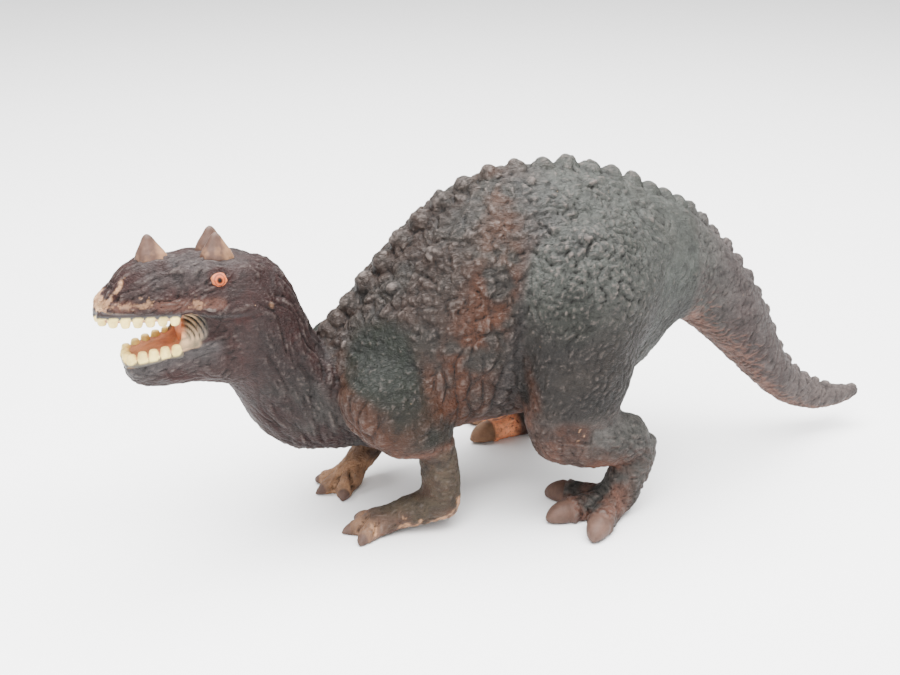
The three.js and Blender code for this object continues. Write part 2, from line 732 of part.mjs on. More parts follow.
// A horn that stands on the skull, its foot sunk into a recess. With a gap it is the recess.
function hornForm(share, angle, length, width, height, gap = 0) {
  const { point } = rim(between(skullSections, share), angle);
  const { out } = rim(between(skullSections, share), 0);
  const front = between(skullSections, share + 1 / skullSections.length).centre;
  const back = between(skullSections, share).centre;
  const ahead = front.sub(back).normalize();
  ahead.addScaledVector(out, -ahead.dot(out)).normalize();
  const side = out.clone().cross(ahead);
  const rows = HORN_SHARES.map(([rise, lean, long, wide]) => ({
    centre: point
      .clone()
      .addScaledVector(out, rise * (height + gap))
      .addScaledVector(ahead, lean * length),
    up: ahead,
    side,
    above: (long * length) / 2 + gap,
    below: (long * length) / 2 + gap,
    half: (wide * width) / 2 + gap,
  }));
  const foot = { ...rows[0], centre: point.clone().addScaledVector(out, -HORN_SEAT - gap) };
  return loft([foot, ...(gap > 0 ? rows.slice(0, 2) : rows)], LIMB_SIDES);
}
const noseHorn = (gap) =>
  hornForm(NOSE_HORN_SHARE, 0, NOSE_HORN_LENGTH, NOSE_HORN_WIDTH, NOSE_HORN_HEIGHT, gap);
const browHorn = (gap) =>
  hornForm(BROW_HORN_SHARE, BROW_HORN_ANGLE, BROW_HORN_LENGTH, BROW_HORN_WIDTH, BROW_HORN_HEIGHT, gap);

// The left eye, a domed button in a round recess. With a gap it is the recess.
function eye(gap = 0) {
  const { point, out } = rim(between(skullSections, EYE_SHARE), EYE_ANGLE);
  const radius = EYE_RADIUS + gap;
  const back = [
    [0, -EYE_DEPTH - gap],
    [radius, -EYE_DEPTH - gap],
  ];
  const front = EYE_DOME_SHARES.map(([reach, rise]) => [reach * radius, rise * EYE_DOME]);
  return turned([...back, ...front], point, out, LIMB_SIDES);
}

// The line that a gum follows round a jaw, from the left corner of the mouth over the front to the right.
function gumLine(sections, shares, angle) {
  const left = Array.from({ length: GUM_STEPS + 1 }, (_, i) => {
    const share = THREE.MathUtils.lerp(shares[0], shares[1], i / GUM_STEPS);
    return rim(between(sections, share), angle).point;
  });
  const right = left.map((p) => new THREE.Vector3(p.x, -p.y, p.z)).reverse();
  return new THREE.CatmullRomCurve3([...left, ...right], false, "centripetal");
}

function gumStrip(line, gap = 0) {
  const radius = GUM_RADIUS + gap;
  const count = GUM_RINGS - 1;
  const sections = Array.from({ length: count + 1 }, (_, i) => {
    const up = new THREE.Vector3(0, 0, 1);
    const side = line.getTangentAt(i / count).cross(up).normalize();
    return { centre: line.getPointAt(i / count), up, side, above: radius, below: radius, half: radius };
  });
  if (gap > 0) {
    for (const [end, way] of [
      [0, -1],
      [count, 1],
    ]) {
      sections[end].centre.addScaledVector(line.getTangentAt(end / count), way * gap);
    }
  }
  return loft(sections, SMALL_SIDES);
}

// A strip of gum with rounded teeth in a row along it, pointing up or down. With a gap it is the recess.
function toothRow(line, height, way, gap = 0) {
  const count = Math.floor(line.getLength() / TOOTH_PITCH);
  const profile = TOOTH_SHARES.map(([radius, rise]) => [
    radius > 0 ? (radius * TOOTH_WIDTH) / 2 + gap : 0,
    rise * (height + gap),
  ]);
  const axis = new THREE.Vector3(0, 0, way);
  const teeth = Array.from({ length: count }, (_, i) =>
    turned(profile, line.getPointAt((i + 1 / 2) / count), axis, SMALL_SIDES),
  );
  return joinAll([gumStrip(line, gap), ...teeth]);
}

const upperGumLine = gumLine(skullSections, UPPER_GUM_SHARES, UPPER_GUM_ANGLE);
const lowerGumLine = gumLine(jawSections, LOWER_GUM_SHARES, LOWER_GUM_ANGLE);
const upperTeeth = (gap) => toothRow(upperGumLine, UPPER_TOOTH_HEIGHT, -1, gap);
const lowerTeeth = (gap) => toothRow(lowerGumLine, LOWER_TOOTH_HEIGHT, 1, gap);

function makeHead() {
  const face = seamFace(neckSeam, neckOut);
  const inward = neckOut.clone().negate();
  const hollow = joinAll([neckRows, skullRows, jawRows].map(hollowOf));
  const recesses = joinAll([
    noseHorn(CLEARANCE),
    bothSides(browHorn(CLEARANCE)),
    bothSides(eye(CLEARANCE)),
    upperTeeth(CLEARANCE),
    lowerTeeth(CLEARANCE),
  ]);
  return joinAll([
    loft(refine(neckRows, NECK_RINGS), HEAD_SIDES),
    loft(skullSections, HEAD_SIDES),
    loft(jawSections, JAW_SIDES),
    loft(refine(headRows(CHEEK_SHARES), CHEEK_RINGS), JAW_SIDES),
  ])
    .subtract(loft(headRows(THROAT_SHARES), JAW_SIDES))
    .subtract(beyond(face, inward))
    .subtract(hollow)
    .subtract(recesses)
    .subtract(shoulders(CLEARANCE))
    .add(plug(face, inward, NECK_PLUG_RADIUS))
    .subtract(bore(face, inward, NECK_PLUG_RADIUS));
}

function makeTorso() {
  const sockets = joinAll([
    plug(seamFace(neckSeam, neckOut), neckOut.clone().negate(), NECK_PLUG_RADIUS, CLEARANCE),
    plug(seamFace(tailSeam, tailOut), tailOut.clone().negate(), TAIL_PLUG_RADIUS, CLEARANCE),
    bothSides(plug(hipFace, hipInward, HIP_PLUG_RADIUS, CLEARANCE)),
    bothSides(plug(seamFace(armSeam, armOut), armOut.clone().negate(), ARM_PLUG_RADIUS, CLEARANCE)),
  ]);
  const hollow = hollowOf(torsoRows)
    .add(bothSides(hollowOf(shoulderRows)))
    .subtract(bothSides(upperLeg(CLEARANCE + WALL, true)));
  return joinAll([
    loft(torsoSections, TORSO_SIDES),
    shoulders(0),
    ...scutes(torsoSections, TORSO_SCUTE_SHARES, TORSO_SCUTE_SIZE_SHARES, TORSO_LENGTH),
  ])
    .subtract(bothSides(upperLeg(CLEARANCE)))
    .subtract(hollow)
    .subtract(sockets);
}

const SKIN = { color: 0x5a4a3c, roughness: 0.62, metalness: 0 };
const HORN = { color: 0x8d7a6a, roughness: 0.5, metalness: 0 };
const TOOTH = { color: 0xe6d2b0, roughness: 0.45, metalness: 0 };
const EYE = { color: 0xc8662a, roughness: 0.3, metalness: 0 };

const figure = new THREE.Group();

function place(name, shape, finish) {
  const { vertProperties, triVerts } = shape.getMesh();
  const geometry = new THREE.BufferGeometry();
  geometry.setAttribute("position", new THREE.BufferAttribute(vertProperties, 3));
  geometry.setIndex(new THREE.BufferAttribute(triVerts, 1));
  geometry.computeVertexNormals();
  const mesh = new THREE.Mesh(geometry, new THREE.MeshStandardMaterial(finish));
  mesh.name = name;
  figure.add(mesh);
}

function placePair(name, leftShape, finish) {
  place(`${name}_left`, leftShape, finish);
  place(`${name}_right`, mirrored(leftShape), finish);
}

place("torso_shell", makeTorso(), SKIN);
place("head_neck_shell", makeHead(), SKIN);
place("tail_shell", makeTail(), SKIN);
place("arm_left", makeArm(LEFT_ELBOW_HEIGHT, LEFT_HAND_SPREAD), SKIN);
place("arm_right", mirrored(makeArm(RIGHT_ELBOW_HEIGHT, RIGHT_HAND_SPREAD)), SKIN);
place("leg_left", makeLeg(0), SKIN);
place("leg_right", mirrored(makeLeg(RIGHT_FOOT_TURN)), SKIN);
place("nose_horn", noseHorn(0), HORN);
placePair("brow_horn", browHorn(0), HORN);
placePair("eye", eye(), EYE);
place("upper_teeth", upperTeeth(0), TOOTH);
place("lower_teeth", lowerTeeth(0), TOOTH);

// The turned right foot reaches further out than the left one, so the middle is not the mid-plane.
const middle = new THREE.Box3().setFromObject(figure).getCenter(new THREE.Vector3());
figure.position.set(-middle.x, -middle.y, 0);

export default figure;
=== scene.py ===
import itertools
import math

import bmesh
import bpy
import numpy as np
from mathutils import Matrix, Vector
from mathutils.bvhtree import BVHTree


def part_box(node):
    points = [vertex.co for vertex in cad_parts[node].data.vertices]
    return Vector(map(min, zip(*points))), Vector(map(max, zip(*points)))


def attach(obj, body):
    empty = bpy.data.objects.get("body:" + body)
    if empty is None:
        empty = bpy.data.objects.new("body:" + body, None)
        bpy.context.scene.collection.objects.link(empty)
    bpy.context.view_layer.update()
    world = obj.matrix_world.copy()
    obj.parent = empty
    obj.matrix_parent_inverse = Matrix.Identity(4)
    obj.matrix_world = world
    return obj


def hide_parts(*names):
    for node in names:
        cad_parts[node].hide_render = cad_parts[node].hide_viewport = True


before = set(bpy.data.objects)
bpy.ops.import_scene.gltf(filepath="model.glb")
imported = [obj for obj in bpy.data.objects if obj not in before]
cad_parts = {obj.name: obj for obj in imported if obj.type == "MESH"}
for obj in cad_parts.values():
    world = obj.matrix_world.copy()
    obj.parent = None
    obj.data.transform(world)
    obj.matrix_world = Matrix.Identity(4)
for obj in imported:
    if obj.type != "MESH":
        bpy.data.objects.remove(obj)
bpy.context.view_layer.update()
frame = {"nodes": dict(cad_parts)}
NODES = frame["nodes"]

MM = 0.001
SHELLS = ["torso_shell", "head_neck_shell", "tail_shell", "arm_left", "arm_right", "leg_left", "leg_right"]
HORNS = ["nose_horn", "brow_horn_left", "brow_horn_right"]
EYES = ["eye_left", "eye_right"]
TEETH = ["upper_teeth", "lower_teeth"]

# The size of the skin's faces before they are divided once more, and of the faces of the small pieces
SKIN_VOXEL = 1.02 * MM
SMALL_VOXEL = 0.34 * MM
# How far one round of smoothing draws a point towards the mean of its neighbours
PULL = 0.5
# The rounds of smoothing below are for a skin voxel of 1.25 mm. A finer one takes more, by this share
FINER = (1.25 * MM / SKIN_VOXEL) ** 2
# Rounds of smoothing that blend one shell's share into the next
SEAM_ROUNDS = 5
# Rounds of smoothing where a horn or an eye is set in, and how far round it the skin is drawn down
SEAT_ROUNDS = 24
SEAT_REACH = 2.4
# Rounds of smoothing that let the thigh run into the root of the tail
RUMP_ROUNDS = 260
# Rounds over which the form that smoothing took away is gathered, to be given back
KEEP_ROUNDS = 34
# The height of a ridge or the depth of a groove that counts as one in the relief that dust and dirt follow
RELIEF = 0.13
# How high above the floor the lowest points of the skin stay
FLOOR_GAP = 0.05


def low_mm(node):
    return np.array(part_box(node)[0]) / MM


def high_mm(node):
    return np.array(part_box(node)[1]) / MM


# Where the mid-plane of the body lies along Y
MIDPLANE = (low_mm("torso_shell")[1] + high_mm("torso_shell")[1]) / 2


# Numbers on points


def ramp(low, high, x):
    """Zero where x is low, one where it is high, and smooth between them. Low may be the greater one."""
    t = np.clip((x - low) / (high - low), 0, 1)
    return t * t * (3 - 2 * t)


def hashed(cell, seed):
    """An even random number from 0 to 1 for each cell of a grid."""
    key = cell[:, 0] * 73856093 ^ cell[:, 1] * 19349663 ^ cell[:, 2] * 83492791 ^ seed * 6542989
    key = key.astype(np.uint32)
    key = (key ^ (key >> 15)) * np.uint32(2246822519)
    key = (key ^ (key >> 13)) * np.uint32(3266489917)
    return (key ^ (key >> 16)) / np.float64(2**32)


def noise(points, seed):
    """Smooth noise from -1 to 1, one swell to a unit."""
    base = np.floor(points).astype(np.int64)
    part = points - base
    part = part * part * (3 - 2 * part)
    total = np.zeros(len(points))
    for corner in itertools.product((0, 1), repeat=3):
        weight = np.prod(np.where(corner, part, 1 - part), axis=1)
        total += weight * hashed(base + corner, seed)
    return 2 * total - 1


def rough(points, seed):
    """Noise with two layers of finer and weaker noise on it."""
    total = np.zeros(len(points))
    for octave in range(3):
        total += noise(points * 2**octave, seed + octave) / 2**octave
    return total


def creases(points, seed, octaves):
    """Narrow valleys between broad swells, from -1 in a valley to 1."""
    total = np.zeros(len(points))
    for octave in range(octaves):
        total += (2 * np.sqrt(np.abs(noise(points * 2**octave, seed + octave))) - 1) / 2**octave
    return total / (2 - 2 ** (1 - octaves))


def cells(points, seed):
    """For scattered points, one in each unit cell: the distances to the nearest and the second nearest,
    and a random number that belongs to the nearest."""
    base = np.floor(points).astype(np.int64)
    nearest = np.full(len(points), np.inf)
    second = nearest.copy()
    luck = np.zeros(len(points))
    for offset in itertools.product((-1, 0, 1), repeat=3):
        cell = base + offset
        spot = np.stack([hashed(cell, seed + axis) for axis in range(3)], axis=1)
        distance = np.linalg.norm(points - cell - spot, axis=1)
        second = np.minimum(second, np.maximum(nearest, distance))
        luck = np.where(distance < nearest, (spot.sum(axis=1) * 7) % 1, luck)
        nearest = np.minimum(nearest, distance)
    return nearest, second, luck


def plates(points, size, seed):
    """Flat plates of a size, some higher than others, with sharp creases between them."""
    nearest, second, luck = cells(points / size, seed)
    return ramp(0, 0.4, second - nearest) * (0.4 + 0.6 * luck)


def warped(points, size, amount, seed):
    """Points pushed about by noise with swells of a size."""
    return points + amount * np.stack([noise(points / size, seed + axis) for axis in range(3)], axis=1)


def stretched(points, along, length, width):
    """Points scaled so that noise on them is drawn out along a direction, to swells of a length and width."""
    along = np.asarray(along, float) / np.linalg.norm(along)
    reach = points @ along
    return (points + np.outer(reach * (width / length - 1), along)) / width


def off_line(points, line):
    """The distance from each point to a line through places, and how far along it that is, from 0 to 1."""
    line = np.asarray(line, float)
    best = np.full(len(points), np.inf)
    share = np.zeros(len(points))
    for i in range(len(line) - 1):
        step = line[i + 1] - line[i]
        t = np.clip((points - line[i]) @ step / (step @ step), 0, 1)
        distance = np.linalg.norm(points - line[i] - np.outer(t, step), axis=1)
        nearer = distance < best
        best = np.where(nearer, distance, best)
        share = np.where(nearer, (i + t) / (len(line) - 1), share)
    return best, share


def laid(mask, make):
    """What make gives for the points under a mask, times the mask, and zero elsewhere."""
    here = mask > 0.01
    values = np.zeros(len(mask))
    values[here] = mask[here] * make(here)
    return values


# Meshes


def tree_of(names):
    """A search tree over the named solids, and for each of its faces the number of its solid."""
    corners, faces, owners = [], [], []
    for i, name in enumerate(names):
        mesh = NODES[name].data
        faces += [[v + len(corners) for v in p.vertices] for p in mesh.polygons]
        corners += [v.co for v in mesh.vertices]
        owners += [i] * len(mesh.polygons)
    return BVHTree.FromPolygons(corners, faces), np.array(owners)


def solid_copy(names, voxel, fill=None):
    """The named solids as one closed skin of even small faces, with everything inside it filled. A fill is
    the middle and the half-lengths of a rounded lump that is added."""
    joined = bmesh.new()
    for name in names:
        joined.from_mesh(NODES[name].data)
    if fill:
        middle, reach = (Vector(lengths) * MM for lengths in fill)
        matrix = Matrix.LocRotScale(middle, None, reach)
        bmesh.ops.create_icosphere(joined, subdivisions=4, radius=1, matrix=matrix)
    mesh = bpy.data.meshes.new("joined")
    joined.to_mesh(mesh)
    joined.free()
    return modified(mesh, "REMESH", mode="VOXEL", voxel_size=voxel)


def modified(mesh, kind, **settings):
    """The mesh after a modifier of a kind."""
    helper = bpy.data.objects.new("helper", mesh)
    bpy.context.scene.collection.objects.link(helper)
    modifier = helper.modifiers.new(kind, kind)
    for key, value in settings.items():
        setattr(modifier, key, value)
    depsgraph = bpy.context.evaluated_depsgraph_get()
    result = bpy.data.meshes.new_from_object(helper.evaluated_get(depsgraph))
    bpy.data.objects.remove(helper)
    bpy.data.meshes.remove(mesh)
    return result


def read(collection, key, width=1, kind=float):
    values = np.empty(len(collection) * width, kind)
    collection.foreach_get(key, values)
    return values.reshape(-1, width) if width > 1 else values


def points_mm(mesh):
    return read(mesh.vertices, "co", 3) / MM


def move_to(mesh, points):
    mesh.vertices.foreach_set("co", (points * MM).ravel())
    mesh.update()


def normals_of(mesh):
    return read(mesh.vertex_normals, "vector", 3)


def edges_of(mesh):
    return read(mesh.edges, "vertices", 2, np.int32)


def store(mesh, name, values):
    if values.ndim > 1:
        colour = np.concatenate([values, np.ones((len(values), 1))], axis=1)
        mesh.attributes.new(name, "FLOAT_COLOR", "POINT").data.foreach_set("color", colour.ravel())
    else:
        mesh.attributes.new(name, "FLOAT", "POINT").data.foreach_set("value", values)


def relax(points, edges, rounds):
    """Each point's values drawn towards its neighbours' mean, as many times as its rounds say."""
    start, end = edges.T
    size = len(points)
    count = np.bincount(edges.ravel(), minlength=size)[:, None]
    points = points.copy()
    for turn in range(int(np.max(rounds))):
        total = np.stack(
            [
                np.bincount(start, points[end, axis], size) + np.bincount(end, points[start, axis], size)
                for axis in range(points.shape[1])
            ],
            axis=1,
        )
        points += (rounds > turn)[:, None] * PULL * (total / count - points)
    return points


def smoothed(mesh, rounds, keep_rounds, keep=1.0):
    """Facets smoothed away. What the whole form lost by it is given back, or a share of that is."""
    points = points_mm(mesh)
    edges = edges_of(mesh)
    soft = relax(points, edges, rounds)
    lost = relax(points - soft, edges, np.full(len(points), keep_rounds))
    move_to(mesh, soft + lost * keep)


def relief(points, normals, edges):
    """How far each point stands out from its near and its wider surroundings, as a share of RELIEF. It is
    below zero in a groove."""
    near = relax(points, edges, np.full(len(points), 4))
    wide = relax(near, edges, np.full(len(points), 20))
    return ((0.65 * (points - near) + 0.22 * (near - wide)) * normals).sum(axis=1) / RELIEF


def mesh_of(points, faces):
    """A mesh from arrays of corners, one array for each number of corners."""
    sizes = np.concatenate([np.full(len(group), group.shape[1]) for group in faces])
    corners = np.concatenate([group.ravel() for group in faces])
    mesh = bpy.data.meshes.new("part")
    mesh.vertices.add(len(points))
    mesh.vertices.foreach_set("co", (points * MM).ravel())
    mesh.loops.add(len(corners))
    mesh.loops.foreach_set("vertex_index", corners)
    mesh.polygons.add(len(sizes))
    mesh.polygons.foreach_set("loop_start", np.cumsum(sizes) - sizes)
    mesh.update(calc_edges=True)
    return mesh


# The bare skin


def shell_shares(points, edges):
    """How much each point belongs to each shell: one where only that shell is near, blended at the seams."""
    tree, owners = tree_of(SHELLS)
    owner = np.array([owners[tree.find_nearest(p)[2]] for p in map(Vector, points * MM)])
    return relax(np.eye(len(SHELLS))[owner], edges, np.full(len(points), FINER * SEAM_ROUNDS))


def seated(points, edges, names, carrier):
    """The points, those round set-in pieces drawn down to the solid that carries those pieces."""
    pieces, _ = tree_of(names)
    ground, _ = tree_of([carrier])
    points = points.copy()
    rounds = np.zeros(len(points))
    for i, point in enumerate(map(Vector, points * MM)):
        distance = pieces.find_nearest(point, 2 * SEAT_REACH * MM)[3]
        if distance is not None:
            share = ramp(SEAT_REACH, SEAT_REACH / 2, distance / MM)
            points[i] += share * (np.array(ground.find_nearest(point)[0]) / MM - points[i])
            rounds[i] = FINER * SEAT_ROUNDS * ramp(2 * SEAT_REACH, SEAT_REACH, distance / MM)
    return relax(points, edges, rounds)


# The back of the mouth, which closes the throat: its middle and its half-lengths
THROAT = ((-111.5, MIDPLANE, 76.5), (13.5, 11.5, 8.5))


def base_skin():
    """All solids as one skin, its facets smoothed away: most on the trunk, least on jaws and claws."""
    mesh = solid_copy(NODES, SKIN_VOXEL, THROAT)
    points = points_mm(mesh)
    shares = shell_shares(points, edges_of(mesh))
    x, y, z = points.T
    side = np.abs(y - MIDPLANE)
    leg = 6 + 44 * ramp(12, 55, z)
    arm = 5 + 14 * ramp(8, 30, z)
    wanted = {
        "torso_shell": 60,
        "head_neck_shell": 6 + 30 * ramp(-118, -88, x),
        "tail_shell": 12 + 30 * ramp(130, 70, x),
        "arm_left": arm,
        "arm_right": arm,
        "leg_left": leg,
        "leg_right": leg,
    }
    rounds = np.zeros(len(points))
    for name, share in zip(SHELLS, shares.T):
        rounds += share * wanted[name]
        store(mesh, name, share)
    rump = ramp(8, 26, x) * ramp(100, 80, x) * ramp(46, 62, z) * ramp(6, 14, side)
    rounds += RUMP_ROUNDS * rump
    smoothed(mesh, FINER * rounds, FINER * KEEP_ROUNDS, (1 - rump)[:, None])
    move_to(mesh, seated(points_mm(mesh), edges_of(mesh), HORNS + EYES, "head_neck_shell"))
    return modified(mesh, "SUBSURF", levels=1, render_levels=1)


# Folded places on the head
EYE = (-111.4, 12.8, 96.0)
NOSTRIL = (-143.9, 6.0, 90.9)
# The folded line of the shoulder, from the withers down to the sleeve
SHOULDER = [(-63, 24, 66), (-57, 27, 48), (-47, 26, 33)]
# Heights of the upper and the lower lip at two places along x
LIPS_X = (-148, -116)
UPPER_LIP_Z = (86.0, 83.0)
LOWER_LIP_Z = (64.5, 74.3)
# The folded line of the light skin round the corner of the mouth, then the x and z round which its ribs
# run in rings, and how far apart they are
CORNER = [
    (-121, 6, 82),
    (-118, 7.5, 81.2),
    (-117.2, 10.5, 79),
    (-117.6, 12, 77.6),
    (-119.8, 12.3, 76.3),
    (-122, 11.5, 75.2),
    (-125, 9, 73.4),
]
RIBS = (-124.0, 76.0)
RIB_PITCH = 1.5
# The folded place on the hip where the plates are deepest
HIP = (3.0, 31.0, 104.0)
# Feet and hands: where their toes or fingers start, side, turn and fan in radians, how far out the claws
# begin, and the height that they stay under
FEET = [
    ("leg_left", (21.5, MIDPLANE - 38.0, 0), 1, 0.0, 0.803, 18.6, 14.0),
    ("leg_right", (21.5, MIDPLANE + 38.0, 0), -1, -0.663, 0.803, 18.6, 14.0),
    ("arm_left", (-62.4, MIDPLANE - 22.5, 0), 1, 0.244, 0.908, 10.2, 8.0),
    ("arm_right", (-62.4, MIDPLANE + 15.5, 0), -1, 0.244, 0.908, 10.2, 8.0),
]
# Folds of the head that fade at both ends: rise, which is below zero for a groove, folded line and width
FADING_FOLDS = {
    "brow": (1.9, [(-129, 8, 98), (-110, 10.5, 100.5), (-84, 9, 95)], 8),
    "cheek groove": (-0.5, [(-114, 14, 80.5), (-108, 15.4, 81.6), (-99, 15.6, 82.4)], 2.2),
    "cheek fold": (0.6, [(-118, 14, 86.4), (-109, 15.4, 85.4), (-99, 15.6, 86.6)], 3),
    "groove behind the eye": (-0.9, [(-101, 13, 97), (-96, 13.2, 93), (-94, 13.6, 85)], 2.4),
    "fold behind it": (0.8, [(-99, 12, 99.5), (-92.8, 13, 93), (-91.6, 13.5, 84)], 3),
}
# Even folds of the head: rise, folded line, and how far from it they begin to fall off and where they end
EVEN_FOLDS = {
    "mound below the nose horn": (2.2, [(-139, 0, 99), (-131, 0, 101)], 1, 9),
    "upper lid": (0.5, [(-117, 12.5, 97.5), (-112, 13.5, 100), (-106, 14, 98)], 0.4, 1.6),
    "fold above the nostril": (0.5, [(-146.5, 4.5, 93), (-141, 7.5, 95), (-134, 8, 97)], 0.4, 2.4),
    "upper lip": (0.5, [(-146, 8, 88), (-135, 12, 88.6), (-124, 14, 88)], 0.6, 2.4),
    "groove above the lip": (-0.5, [(-143, 9, 91.5), (-134, 11.5, 91.2), (-122, 13, 91)], 0.3, 1.8),
}
# Folded lines where neck, thigh and arm meet the trunk
COLLAR = [(-74, 10, 66), (-79, 20, 52), (-76, 22, 38), (-70, 20, 30)]
THIGH_CREASE = [(-5, 32, 88), (-14, 36, 74), (-14, 38, 58), (-9, 40, 44)]
SLEEVE = [(-64, 30, 40), (-56, 34, 30), (-44, 34, 28), (-36, 30, 34)]
# Scutes are found on the solids at stations along the back, this far apart. The top of one rises so far
# above the mean of the stations within the first number of steps, and is the highest within the second
STATION = 0.25
SCUTE_RISE = 0.25
MEAN_STEPS = 24
PEAK_STEPS = 8
# How far smoothing has brought the scutes' tops down
SCUTE_SUNK = 1.2
# The share of the places for scattered knobs that stays without one
BARE = 0.55
# Single knobs of the left side: folded place and radius
KNOBS = [
    ((-39.9, 16.5, 96.0), 4.2),
    ((-52.7, 12.3, 85.3), 3.2),
    ((-28.0, 20.1, 102.7), 2.6),
    ((21.1, 11.7, 114.5), 2.4),
    ((8.9, 35.0, 102.0), 2.2),
    ((-69.8, 11.5, 66.8), 2.8),
]


class Skin:
    """The skin's points and what the carving and painting need to know about each."""

    def __init__(self, mesh):
        self.mesh = mesh
        self.edges = edges_of(mesh)
        self.share = {name: read(mesh.attributes[name].data, "value") for name in SHELLS}
        self.trunk, self.head, self.tail = (self.share[name] for name in SHELLS[:3])
        self.arms = self.share["arm_left"] + self.share["arm_right"]
        self.legs = self.share["leg_left"] + self.share["leg_right"]
        self.look()
        self.mark_regions()
        self.mark_claws()
        self.mark_mouth()

    def look(self):
        self.points = points_mm(self.mesh)
        self.normals = normals_of(self.mesh)
        self.x, self.y, self.z = self.points.T
        self.side = np.abs(self.y - MIDPLANE)
        self.folded = np.stack([self.x, self.side, self.z], axis=1)
        self.up = self.normals[:, 2]

    def push(self, height):
        """Moves the skin outwards by a height at each point, but never below the floor."""
        points = self.points + self.normals * height[:, None]
        points[:, 2] = np.maximum(points[:, 2], FLOOR_GAP)
        move_to(self.mesh, points)
        self.look()

    def off(self, place):
        """Distances to a folded place."""
        return np.linalg.norm(self.folded - np.array(place), axis=1)

    def near(self, place, inner, outer):
        """One within the inner distance of a folded place, and zero beyond the outer one."""
        return ramp(outer, inner, self.off(place))

    def along(self, line, inner, outer):
        """The same along a line of folded places."""
        return ramp(outer, inner, off_line(self.folded, line)[0])

    def tapered(self, line, width):
        """The same, at its full width in the middle of the line and gone at its ends."""
        distance, share = off_line(self.folded, line)
        return ramp(1, 0.1, distance / (width * np.sin(np.pi * np.clip(share, 0.02, 0.98))))

    def mark_regions(self):
        """Masks of the regions that are carved and painted in their own way."""
        x, z = self.x, self.z
        self.shoulder = self.trunk * self.along(SHOULDER, 9, 17)
        self.rump = self.trunk * ramp(10, 24, x) * ramp(94, 78, z)
        self.back = self.trunk * ramp(52, 78, z)
        body = self.trunk - self.rump
        self.flank = body * (1 - self.shoulder) * ramp(74, 58, z) * ramp(33, 42, z)
        self.belly = body * ramp(40, 32, z)
        self.snout = self.head * ramp(-98, -112, x)
        self.neck = self.head * ramp(-106, -94, x)
        self.thigh = self.legs * ramp(34, 46, z) + self.rump
        self.thigh_top = self.thigh * ramp(64, 86, z) * ramp(50, 20, x)
        self.shank = self.legs * ramp(46, 34, z)

    def mark_claws(self):
        """Masks of the claws, of the fold of skin round each, and of the grooves between toes or fingers."""
        self.claw, self.cuticle, self.web = np.zeros((3, len(self.points)))
        for name, hub, side, turn, fan, start, top in FEET:
            along, between = off_digits(self.points, hub, side, turn, fan)
            near = self.share[name] * ramp(top + 2, top, self.z)
            self.claw = np.maximum(self.claw, near * ramp(start - 0.4, start + 0.4, along))
            self.cuticle = np.maximum(self.cuticle, near * ramp(1.8, 0.4, np.abs(along - start + 1)))
            gap = ramp(1.6, 0.3, between) * ramp(0.3 * start, 0.5 * start, along)
            self.web = np.maximum(self.web, near * gap * ramp(1, 3, self.z))

    def mark_mouth(self):
        """Masks of the mouth's inside, of the light skin at its corner and of the ribs there."""
        x, side, z = self.x, self.side, self.z
        below_top = ramp(0.6, -0.6, z - np.interp(x, LIPS_X, UPPER_LIP_Z))
        above_floor = ramp(-0.6, 0.6, z - np.interp(x, LIPS_X, LOWER_LIP_Z))
        cave = np.maximum(ramp(-118, -120, x), ramp(9, 8, side))
        self.mouth = self.head * below_top * above_floor * cave * ramp(-104, -106, x)
        self.corner = self.head * np.maximum(
            self.along(CORNER, 0.8, 2.8) * ramp(-114.8, -117, x),
            self.mouth * ramp(-125, -121, x),
        )
        reach = np.hypot(x - RIBS[0], z - RIBS[1])
        self.rib = self.corner * ramp(74.5, 77.5, z) * np.cos(2 * np.pi * reach / RIB_PITCH)


def off_digits(points, hub, side, turn, fan):
    """How far along the nearest of three toes or fingers a point lies, and how far from the line midway
    between two of them."""
    away = points - np.array(hub)
    angle = np.arctan2(away[:, 1] * side, -away[:, 0])
    reach = np.hypot(away[:, 0], away[:, 1])
    best = np.full(len(points), np.inf)
    along = np.zeros(len(points))
    for digit in (-fan, 0, fan):
        off = np.abs((angle - digit - turn + np.pi) % (2 * np.pi) - np.pi)
        along = np.where(off < best, reach * np.cos(off), along)
        best = np.minimum(best, off)
    return along, reach * np.abs(best - fan / 2)


# Carving


def carve(skin):
    """Folds first, then scutes and knobs, then scales and wrinkles."""
    skin.push(head_forms(skin) + body_forms(skin))
    row = scutes(skin)
    skin.scute = ramp(0, 1.5, row)
    skin.push(row + knobs(skin) * (1 - skin.scute))
    height = body_texture(skin) + head_texture(skin) + limb_texture(skin)
    skin.push(height * (1 - skin.claw) * (1 - skin.mouth))


def head_forms(skin):
    """Brow, lid, nostril, lips, cheek folds and the ribs at the corner of the mouth."""
    height = 0.25 * ramp(1.2, 0.3, np.abs(skin.off(EYE) - 3.5))
    height -= 0.9 * skin.near(NOSTRIL, 0.5, 2.2)
    for rise, line, width in FADING_FOLDS.values():
        height += rise * skin.tapered(line, width)
    for rise, line, inner, outer in EVEN_FOLDS.values():
        height += rise * skin.along(line, inner, outer)
    return (height + 0.35 * skin.rib) * skin.head


def body_forms(skin):
    """Folds where neck, thigh and arm meet the trunk, round the claws, and between toes and fingers."""
    height = 0.9 * skin.head * skin.along(COLLAR, 0.4, 2.6)
    height -= 1.2 * skin.trunk * skin.along(THIGH_CREASE, 1, 6)
    height += 0.6 * skin.trunk * skin.along(SLEEVE, 0.5, 2.5)
    return height + (0.4 * skin.cuticle - 0.3 * skin.claw) * skin.legs - 0.9 * skin.web


